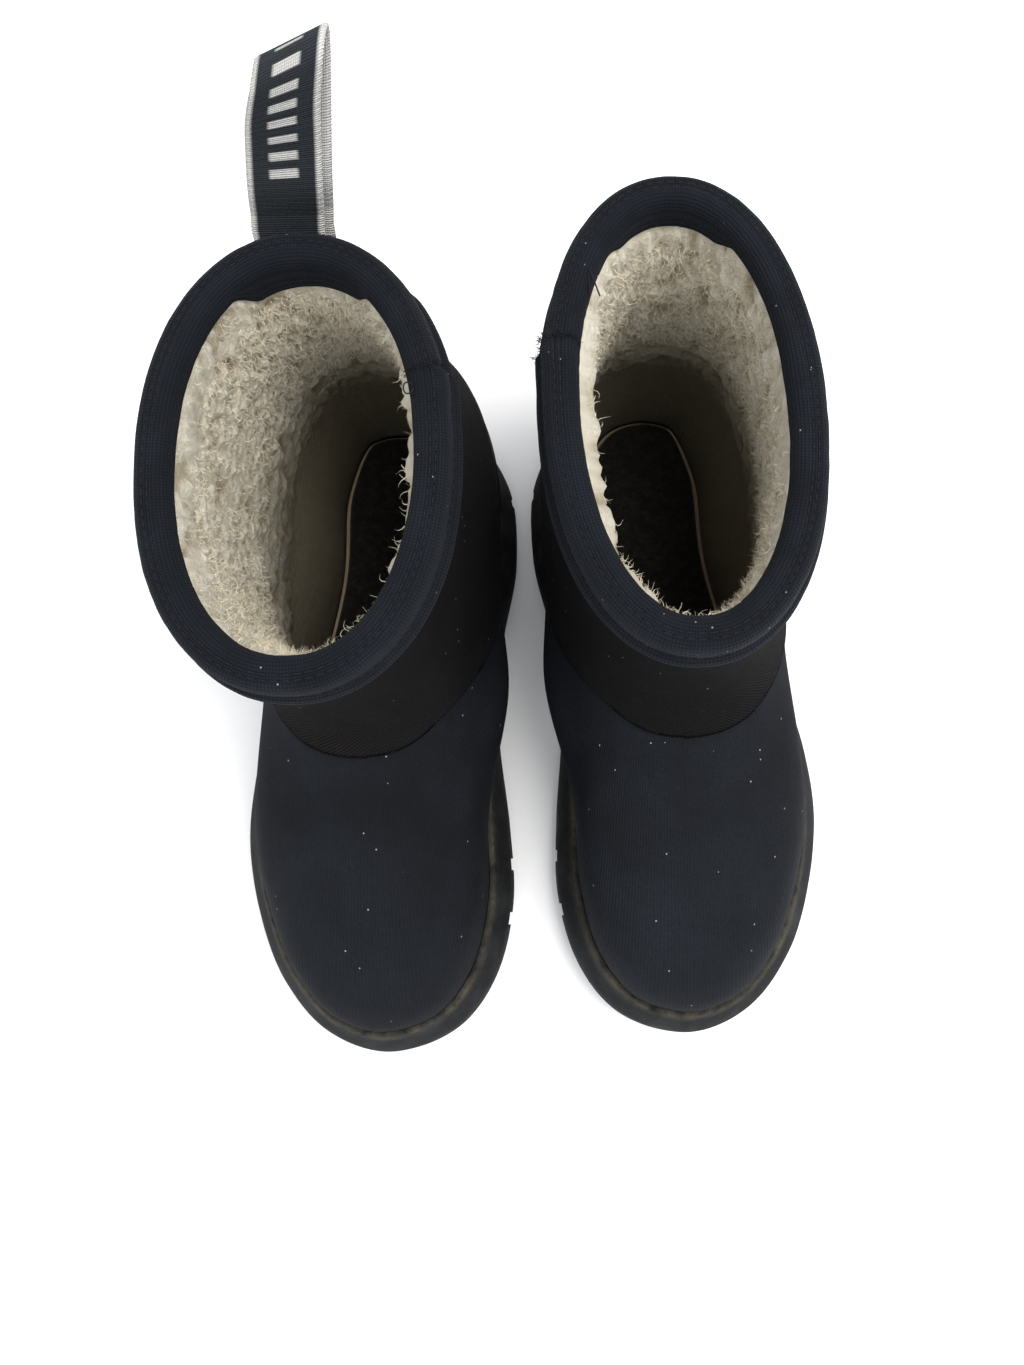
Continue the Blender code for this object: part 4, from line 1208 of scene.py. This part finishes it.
# The facing hangs inside, deeper near the back by an amount and over a half angle.
INNER_DROP = 5.0
FACING = {"right": (9.0, 0.46), "left": (5.0, 0.46)}
FACING_END = 0.16
FACING_HEM = [(0.0, 0.6), (0.1, 0.94), (-0.35, 1.0), (-1.2, 0.97)]
FACING_CLEARANCE = 0.2
COLLAR_CLEARANCE = 0.3

RIM_PUFF = {"right": 2.0, "left": 4.5}
RIM_PUFF_DROP = 9.0
RIM_PUFF_SPREAD = 7.0

BINDING_FRAYS = 170
BINDING_FRAY_JITTER = 0.25
BINDING_FRAY_LENGTH = (0.5, 1.9)

STITCH_LINES = [(1.42, 1.42), (2.92, 1.48), (-2.40, -10.15)]
STITCH_PITCH = 2.9
STITCH_RADIUS = 0.22
STITCH_REACH = 0.44 * STITCH_PITCH
STITCH_SHAPE = [(0.0, 0.35), (0.25, 1.0), (0.75, 1.0), (1.0, 0.35)]


def make_binding(side, shaft, cols, made, thread):
    """The folded tape with its grooves, butt seam and taller facing at the back, and its stitches."""
    top = shaft[0][-1]
    normal = shaft[1][-1]
    up = unit(shaft[0][-1] - shaft[0][-3])
    extra, spread = FACING[side]
    from_back = np.abs(np.abs(cols.angle) - math.pi)
    drop = INNER_DROP + extra * smooth((spread - from_back) / FACING_END)
    past = (BUTT_SEAM[side] - cols.angle) / BUTT_RUN
    step = BUTT_STEP * np.where((past > 0) & (past < 1), 1 - smooth(past), 0.0)
    ridge = 1 - smooth((RIDGE_FREE - from_back) / RIDGE_EASE)

    def line(depth, height):
        """A line round the collar, at a depth into the boot and a height over its top edge."""
        depth = np.broadcast_to(depth, cols.count)[:, None]
        return top - depth * normal + np.broadcast_to(height, cols.count)[:, None] * up

    rows = []
    for depth, height in BINDING_SECTION:
        out = np.where(depth < 1, step, BUTT_INSIDE * step)
        if depth < -RIDGE_FROM:
            depth = -RIDGE_FROM + (depth + RIDGE_FROM) * ridge
        rows.append(line(depth - out, height + BUTT_LIFT * step))
    inside = BINDING_SECTION[-1][0]
    rows += [line(inside + further, -drop * share) for further, share in FACING_HEM]
    hidden = SHAFT_LINING[1] + FACING_CLEARANCE
    rows += [line(hidden, -drop / 2), line(hidden, FACING_CLEARANCE)]
    rows.append(line(-COLLAR_CLEARANCE, FACING_CLEARANCE))
    rows = np.array(rows)
    around = unit(np.roll(rows, -1, axis=1) - np.roll(rows, 1, axis=1))
    along = unit(np.roll(rows, -1, axis=0) - np.roll(rows, 1, axis=0))
    face_out = unit(np.cross(along, around))
    seen = slice(0, -3)
    rows[seen] += relief_of(rows, BINDING_RELIEF)[seen, :, None] * face_out[seen]
    obj = skin_piece(f"{side}_knit_binding", side, rows, made)
    show(obj, f"{side}_boot", "knit_binding", f"{side}_collar_binding")

    seam_column = int(np.argmin(np.abs(cols.angle - BUTT_SEAM[side])))
    rng = np.random.default_rng(83)
    level = rng.integers(1, len(BINDING_SECTION), BINDING_FRAYS)
    roots = rows[level, seam_column] + rng.normal(0, BINDING_FRAY_JITTER, (BINDING_FRAYS, 3))
    lean = face_out[level, seam_column] - 0.4 * around[level, seam_column]
    lean = lean + 0.7 * rng.normal(size=(BINDING_FRAYS, 3))
    lengths = rng.uniform(*BINDING_FRAY_LENGTH, BINDING_FRAYS)
    name = f"{side}_binding_fray"
    frayed = strands(name, side, roots, lean, lengths, radius=0.14, curl=0.7, seed=84, made=thread)
    show(frayed, f"{side}_boot", "thread_black")

    lines = [line(depth - step, height + BUTT_LIFT * step) for depth, height in STITCH_LINES]
    stitches = make_stitches(f"{side}_binding_stitches", side, lines, thread)
    show(stitches, f"{side}_boot", "thread_black", f"{side}_collar_stitching")


def make_stitches(name, side, lines, made):
    """Short lozenge-shaped stitches one after another along closed lines."""
    turn = np.linspace(0, 2 * math.pi, THREAD_SIDES, endpoint=False)[:, None]
    points, faces = [], []
    for line in lines:
        closed = np.vstack([line, line[:1]])
        arc = distances(closed)
        count = int(arc[-1] / STITCH_PITCH)
        for at in (np.arange(count) + 0.5) * arc[-1] / count:
            reach = (at - STITCH_REACH, at + STITCH_REACH)
            start, end = np.column_stack([np.interp(reach, arc, closed[:, k]) for k in range(3)])
            run = unit(end - start)
            side_way = unit(np.cross(run, [0.0, 0.0, 1.0]))
            over = np.cross(side_way, run)
            faces += ring_faces(len(points), THREAD_SIDES, len(STITCH_SHAPE), inward=True)
            for t, share in STITCH_SHAPE:
                middle = start + (end - start) * t
                around = np.cos(turn) * side_way + np.sin(turn) * over
                points += list(middle + STITCH_RADIUS * share * around)
    return make_mesh(name, side, np.array(points), faces, materials=[made])


# ---------------------------------------------------------------- pull loops

def free_line(side, count=260):
    """Middle of the free tape seen from the side, from its front foot over the crest and down behind.

    Heights start at the hinge. Bending and turning are as the loop lies at rest.
    """
    crest_radius = LOOP_GAP / 2 + WEB_THICKNESS
    centre_z = LOOP_FREE - crest_radius
    stem = (WEB_THICKNESS + LOOP_NECK) / 2
    middle = crest_radius - WEB_THICKNESS / 2
    straight = np.linspace(LOOP_FOOT, BEND_END, 30)
    front = [(stem, z) for z in straight]
    rise = np.linspace(BEND_END, centre_z, 40)[1:]
    front += [(stem + (middle - stem) * smooth((z - BEND_END) / (centre_z - BEND_END)), z) for z in rise]
    angles = np.linspace(0, math.pi, 50)[1:-1]
    crest = [(middle * math.cos(a), centre_z + middle * math.sin(a)) for a in angles]
    flat = np.array(front + crest + [(-y, z) for y, z in reversed(front)])
    bend = math.radians(LOOP_BEND_DEG[side])
    run = BEND_END - BEND_START
    out = []
    for y, z in flat:
        share = min(max((z - BEND_START) / run, 0.0), 1.0)
        turn = share * bend
        base_y, base_z = 0.0, min(z, BEND_START)
        if bend and share > 0:
            base_y -= run / bend * (1 - math.cos(turn))
            base_z += run / bend * math.sin(turn)
        elif share > 0:
            base_z += share * run
        past = max(z - BEND_END, 0.0)
        base_y -= past * math.sin(turn)
        base_z += past * math.cos(turn)
        out.append((base_y + y * math.cos(turn), base_z + y * math.sin(turn)))
    line = resample(np.array(out), count)
    turned = math.radians(LOOP_TURN_DEG[side])
    y = line[:, 0] * math.cos(turned) - line[:, 1] * math.sin(turned)
    z = line[:, 1] * math.cos(turned) + line[:, 0] * math.sin(turned)
    return np.column_stack([y, z])


def resample(line, count):
    """The same open line with evenly spaced points."""
    arc = distances(line)
    wanted = np.linspace(0, arc[-1], count)
    return np.column_stack([np.interp(wanted, arc, line[:, k]) for k in range(line.shape[1])])


TAPE_SECTION = 22
SCALLOP_PITCH = 1.25
SCALLOP = 0.28
SCALLOP_FROM = 0.95
SELVEDGE_WIDTH = 1.5
SELVEDGE_BULGE = 0.25
SELVEDGE_THINNING = 0.45
RIPPLE = 0.05
RIPPLE_PITCH = 1.1
INNER_FACE_PALE = 0.85
SWING_IN = (0.36, 0.22)
SWING_OUT = (0.99, 0.12)

LADDER_SPAN = (46.0, 92.0)
LADDER_PITCH = 6.4
LADDER_BAR = 3.0
LADDER_HALF_WIDTH = 4.2
LADDER_PALE = 0.92


def tape_mesh(name, side, line, x_of, made, pattern=None, slant=0.0, swing=0.0, foot_z=0.0):
    """A tape of webbing along a side-view line; pattern gives how pale its outer face is.

    Its lateral edge is lowered by the slant at the crest, less and less towards foot_z, and its back
    strand swings sideways past the front one.
    """
    raised = np.clip((line[:, 1] - foot_z) / (line[:, 1].max() - foot_z), 0.0, 1.0) ** 2
    share = np.linspace(0.0, 1.0, len(line))
    swing_in = smooth((share - SWING_IN[0]) / SWING_IN[1])
    swing_out = smooth((SWING_OUT[0] - share) / SWING_OUT[1])
    middle = np.column_stack([x_of(line[:, 1]) + swing * swing_in * swing_out, line])
    tangent = unit(np.gradient(middle, axis=0))
    width_way = np.array([1.0, 0.0, 0.0])
    out = unit(np.cross(tangent, width_way))
    arc = distances(middle)
    spread = np.linspace(-1, 1, TAPE_SECTION)
    half = WEB_WIDTH / 2
    scallop = SCALLOP * np.abs(np.sin(math.pi * arc / SCALLOP_PITCH))
    ripple = RIPPLE * np.sin(2 * math.pi * arc / RIPPLE_PITCH)
    loops, pale, across = [], [], []
    for face, order in ((1.0, spread), (-1.0, spread[::-1])):
        for s in order:
            at = s * (half - SCALLOP) + np.sign(s) * scallop * (abs(s) > SCALLOP_FROM)
            edge = max(0.0, (abs(s) * half - (half - SELVEDGE_WIDTH)) / SELVEDGE_WIDTH)
            shape = 1.0 + SELVEDGE_BULGE * math.sin(math.pi * edge) - SELVEDGE_THINNING * edge**3
            thick = WEB_THICKNESS / 2 * shape
            place = middle + at[:, None] * width_way + (face * (thick + ripple))[:, None] * out
            place[:, 2] -= slant * (1 - s) / 2 * raised
            loops.append(place)
            if face < 0:
                mark = np.full(len(line), INNER_FACE_PALE)
            elif pattern is not None and edge == 0:
                mark = pattern(arc, s * half)
            else:
                mark = np.full(len(line), 1.0 if edge > 0 else 0.0)
            pale.append(mark)
            across.append(s * half * MM)
    obj = capped_grid(name, side, np.stack(loops, axis=1), made, u=[*across, across[0]], v=arc * MM)
    add_field(obj, "pale", np.stack(pale, axis=1))
    return obj


def ladder(arc, across):
    """Plain woven bars along the loop's front run: the generic pattern of this pair."""
    start, end = LADDER_SPAN
    inside = (arc > start) & (arc < end) & (abs(across) < LADDER_HALF_WIDTH)
    return np.where(inside & ((arc - start) % LADDER_PITCH < LADDER_BAR), LADDER_PALE, 0.0)


ROOT_SEARCH = 25.0
JOIN_LOW = 3.0
JOIN_HIGH = 5.0
FOLD_DROP = 2.0
FOLD_GAP = 0.2
TACK_POINTS = 26
TACK_MARGIN = 2.0
TACK_SPAN = (5.0, 6.8)
TACK_LEAN = 0.3
TACK_DEPTH = (0.45, 0.55)
TACK_RADIUS = 0.28


def make_loops(side, shaft, made, thread):
    """Root, fold and free loop of the webbing, and the bar tack."""
    rows = shaft[0]
    back = int(np.argmin(rows[0, :, 1]))
    root_top = rows[-1, back, 2] - BINDING_OUTSIDE - GAP
    root_low = root_top - ROOT_LENGTH
    high_enough = rows[:, back, 2] > root_low - ROOT_SEARCH
    root_front = rows[:, back, 1][high_enough].min() - GAP
    root_back = root_front - 2 * WEB_THICKNESS - LOOP_NECK
    centre = (root_front + root_back) / 2
    hinge_y = root_back - HINGE_OFFSET
    x = LOOP_CENTRE_X[side]
    skew = math.tan(math.radians(LOOP_SKEW_DEG[side]))
    strand = (WEB_THICKNESS + LOOP_NECK) / 2

    def x_of(z):
        """The tape's middle at a height: straight at the root and skewed above it."""
        return x - ROOT_SHIFT[side] + np.maximum(z - root_top, 0.0) * skew

    def root_strands(top):
        """The root's two strands, up the front to a height and down the back from it."""
        heights = np.linspace(root_low, top, 30)
        front = [(centre + strand, z) for z in heights]
        return front, [(centre - strand, z) for z in heights[::-1]]

    free = free_line(side) + (hinge_y, root_top)
    if side == "right":
        front, behind = root_strands(root_top - JOIN_LOW)
        line = resample(np.vstack([front, free[free[:, 1] > root_top + JOIN_HIGH], behind]), 520)
        obj = tape_mesh(f"{side}_webbing", side, line, x_of, made, ladder, CREST_SLANT, BACK_SWING, root_top)
        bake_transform(obj)
        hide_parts(f"{side}_loop_root", f"{side}_pull_loop")
    else:
        fold_z = root_top - FOLD_DROP
        turns = np.linspace(0, math.pi, 16)
        fold = [(centre + strand * math.cos(a), fold_z + strand * math.sin(a)) for a in turns]
        front, behind = root_strands(fold_z - FOLD_GAP)
        line = resample(np.array(front + fold + behind), 200)
        root = tape_mesh(f"{side}_webbing_root", side, line, x_of, made)
        show(root, f"{side}_boot", "webbing", f"{side}_loop_root")
        line = resample(free, 420)
        loop = tape_mesh(f"{side}_webbing_loop", side, line, lambda z: np.full(len(z), x), made)
        show(loop, f"{side}_loop", "webbing", f"{side}_pull_loop")
    tack = []
    half = WEB_WIDTH / 2 - TACK_MARGIN
    for k, at in enumerate(np.linspace(x - half, x + half, TACK_POINTS)):
        low, high = TACK_SPAN if k % 2 else TACK_SPAN[::-1]
        tack.append((at, root_back - TACK_DEPTH[0], root_low + low))
        tack.append((at + TACK_LEAN, root_back - TACK_DEPTH[1], root_low + high))
    obj = tube(f"{side}_bar_tack", side, tack, TACK_RADIUS, thread)
    show(obj, f"{side}_boot", "thread_light", f"{side}_loop_bartack")


# ---------------------------------------------------------------- stray threads

# The left thread's bends, from the collar's top edge at a place along it, and the right thread's ring.
LEFT_THREAD_Y = 46.0
LEFT_THREAD = [(-7.6, 4.0, 0.0), (-7.4, 0.0, 1.2), (-7.6, -3.5, 1.8), (-8.6, 0.5, 2.2), (-10.0, 5.0, 1.4)]
LEFT_THREAD_RADIUS = 0.22
RIGHT_THREAD_Y = 72.0
RIGHT_THREAD_OFFSET = (-7.6, 0.0, 1.0)
RIGHT_THREAD_RING = (1.3, 1.6)
RIGHT_THREAD_RISE = (0.6, 0.3)
RIGHT_THREAD_RADIUS = 0.2
THREAD_POINTS = 24
FAR = 1000.0


def medial_point(line, y):
    """The line's point nearest to y on the side of the other boot."""
    return line[int(np.argmin(np.abs(line[:, 1] - y) + FAR * (line[:, 0] < 0)))]


def make_threads(shafts, made):
    """One loose thread on each collar."""
    base = medial_point(shafts["left"][0][-1], LEFT_THREAD_Y)
    path = resample(base + np.array(LEFT_THREAD), THREAD_POINTS)
    obj = tube("left_loose_thread", "left", path, LEFT_THREAD_RADIUS, made)
    show(obj, "left_boot", "thread_black")
    base = medial_point(shafts["right"][0][-1], RIGHT_THREAD_Y) + RIGHT_THREAD_OFFSET
    turn = np.linspace(0, 1.8 * math.pi, THREAD_POINTS)
    width, length = RIGHT_THREAD_RING
    rise, wave = RIGHT_THREAD_RISE
    ring = base + np.column_stack([
        width * np.cos(turn),
        length * np.sin(turn),
        rise + wave * np.sin(2 * turn),
    ])
    obj = tube("right_loose_thread", "right", ring, RIGHT_THREAD_RADIUS, made)
    show(obj, "right_boot", "thread_black")


# ---------------------------------------------------------------- the scene

CAMERA_PLACE = (0.0092055, -0.0848, 0.47955)
CAMERA_DOWN_DEG = 76.52
CAMERA_TURN_DEG = -3.11
CAMERA_ROLL_DEG = 0.93
CAMERA_LENS = 31.717
CAMERA_SHIFT = (-0.0391, -0.03875)
CAMERA_SENSOR = 36.0
CAMERA_NEAR = 0.01

FLOOR_HALF = 3.0
FLOOR_DROP = 0.0004
SKY_COLOUR = (0.97, 0.98, 1.0)
SKY_STRENGTH = 1.15
# Each lamp's name, place, target, size, power and colour.
LAMPS = [
    ("window", (0.50, -0.05, 1.5), (0.0, 0.0, 0.1), 0.7, 20.0, (1.0, 0.98, 0.95)),
    ("front", (0.0, -1.0, 1.3), (0.0, 0.0, 0.05), 1.2, 8.0, (0.95, 0.97, 1.0)),
]


def make_camera():
    """The photo's camera, as fitted to it: above the boots, a little in front of them."""
    down, turn, roll = (math.radians(a) for a in (CAMERA_DOWN_DEG, CAMERA_TURN_DEG, CAMERA_ROLL_DEG))
    ahead = Vector((-math.sin(turn) * math.cos(down), math.cos(turn) * math.cos(down), -math.sin(down)))
    level = Vector((math.cos(turn), math.sin(turn), 0.0))
    steep = level.cross(ahead)
    right = math.cos(roll) * level + math.sin(roll) * steep
    up = math.cos(roll) * steep - math.sin(roll) * level
    data = bpy.data.cameras.new("camera")
    data.sensor_width = CAMERA_SENSOR
    data.lens = CAMERA_LENS
    data.shift_x, data.shift_y = CAMERA_SHIFT
    data.clip_start = CAMERA_NEAR
    camera = bpy.data.objects.new("camera", data)
    bpy.context.scene.collection.objects.link(camera)
    turn_matrix = Matrix((right, up, -ahead)).transposed().to_4x4()
    camera.matrix_world = Matrix.Translation(CAMERA_PLACE) @ turn_matrix
    bpy.context.scene.camera = camera


def area_light(name, place, target, size, power, colour):
    """A square lamp that faces its target."""
    data = bpy.data.lights.new(name, "AREA")
    data.size = size
    data.energy = power
    data.color = colour
    light = bpy.data.objects.new(name, data)
    bpy.context.scene.collection.objects.link(light)
    light.location = place
    light.rotation_mode = "QUATERNION"
    light.rotation_quaternion = (Vector(target) - Vector(place)).to_track_quat("-Z", "Y")


def make_surroundings():
    """Pale floor, even sky and two soft lamps."""
    mesh = bpy.data.meshes.new("floor")
    square = [(-1, -1), (1, -1), (1, 1), (-1, 1)]
    mesh.from_pydata([(x * FLOOR_HALF, y * FLOOR_HALF, 0.0) for x, y in square], [], [(0, 1, 2, 3)])
    floor = bpy.data.objects.new("floor", mesh)
    bpy.context.scene.collection.objects.link(floor)
    mesh.materials.append(plain("floor_paper", FLOOR_PAPER, 0.9, 60.0, 0.0001, spread=1.02))
    floor.location.z = -FLOOR_DROP
    floor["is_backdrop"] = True

    world = bpy.data.worlds.new("sky")
    world.use_nodes = True
    background = world.node_tree.nodes["Background"]
    background.inputs["Color"].default_value = (*SKY_COLOUR, 1.0)
    background.inputs["Strength"].default_value = SKY_STRENGTH
    bpy.context.scene.world = world
    for lamp in LAMPS:
        area_light(*lamp)
    bpy.context.scene.view_settings.view_transform = "Standard"


def dress_hidden_nodes(frame):
    """Procedural finishes for the CAD nodes that are shown as they are."""
    finishes = {
        "midsole": plain("foam", FOAM, 0.9, 900.0, 0.0003),
        "shank": plain("shank_steel", STEEL, 0.35, 1600.0, 0.00005, metallic=0.9, spread=1.2),
        "lasting_board": plain("fibre_board", FIBRE_BOARD, 0.9, 700.0, 0.0002),
        "heel_counter": plain("stiffener", STIFFENER, 0.7, 500.0, 0.0001),
    }
    finishes["toe_puff"] = finishes["heel_counter"]
    for side in SIDES:
        for part, made in finishes.items():
            node = frame["nodes"][f"{side}_{part}"]
            node.data.materials.clear()
            node.data.materials.append(made)


def corners():
    """The bounds of all that is shown, as plain lists."""
    return [list(corner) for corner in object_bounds()]


UPPER_COLUMNS = 300
UPPER_ROWS = (40, 50)
PILE_COLUMNS = 540
PILE_ROWS = (90, 150)


def build(frame):
    """All the visual pieces, the finishes of the CAD nodes that stay, and what stands round them."""
    rubber_made, vamp_made, panel_made = rubber(), fine_cloth(), coated_panel()
    twill_made, knit_made, felt_made = twill(), knit(), felt()
    pile_made = pile("pile_lining")
    web = webbing("webbing", WEB_DARK, WEB_LIGHT)
    thread = plain("thread_black", THREAD, 0.8, *THREAD_GRAIN)
    grey_thread = plain("thread_light", GREY_THREAD, 0.8, *THREAD_GRAIN)
    lint = plain("lint", FOOTBED_LINT, 1.0, *THREAD_GRAIN)
    fibre = plain("pile_fibre", PILE_FIBRE, 1.0, 900.0, 0.0001, spread=1.2)

    shafts = {}
    for side in SIDES:
        cols = Columns(UPPER_COLUMNS)
        plain_foot, plain_shaft = upper_face(side, cols, *UPPER_ROWS)
        foot, shaft = moved_seam(plain_foot, plain_shaft, cols.angle)
        shafts[side] = shaft
        make_outsole(side, rubber_made)
        make_footbed(side, felt_made, lint)
        make_vamp(side, foot, vamp_made)
        make_overlay(side, plain_foot, cols.count, panel_made)
        make_shaft(side, foot, shaft, twill_made, thread)
        make_binding(side, shaft, cols, knit_made, thread)
        make_loops(side, shaft, web, grey_thread)

        fine = Columns(PILE_COLUMNS)
        fine_foot, fine_shaft = upper_face(side, fine, *PILE_ROWS)
        make_shaft_lining(side, fine, fine_shaft, pile_made, fibre)
        make_foot_lining(side, fine_foot, pile_made)
    make_threads(shafts, thread)
    dress_hidden_nodes(frame)
    make_camera()
    make_surroundings()


for start_object in list(bpy.context.scene.objects):
    bpy.data.objects.remove(start_object, do_unlink=True)
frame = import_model()
build(frame)
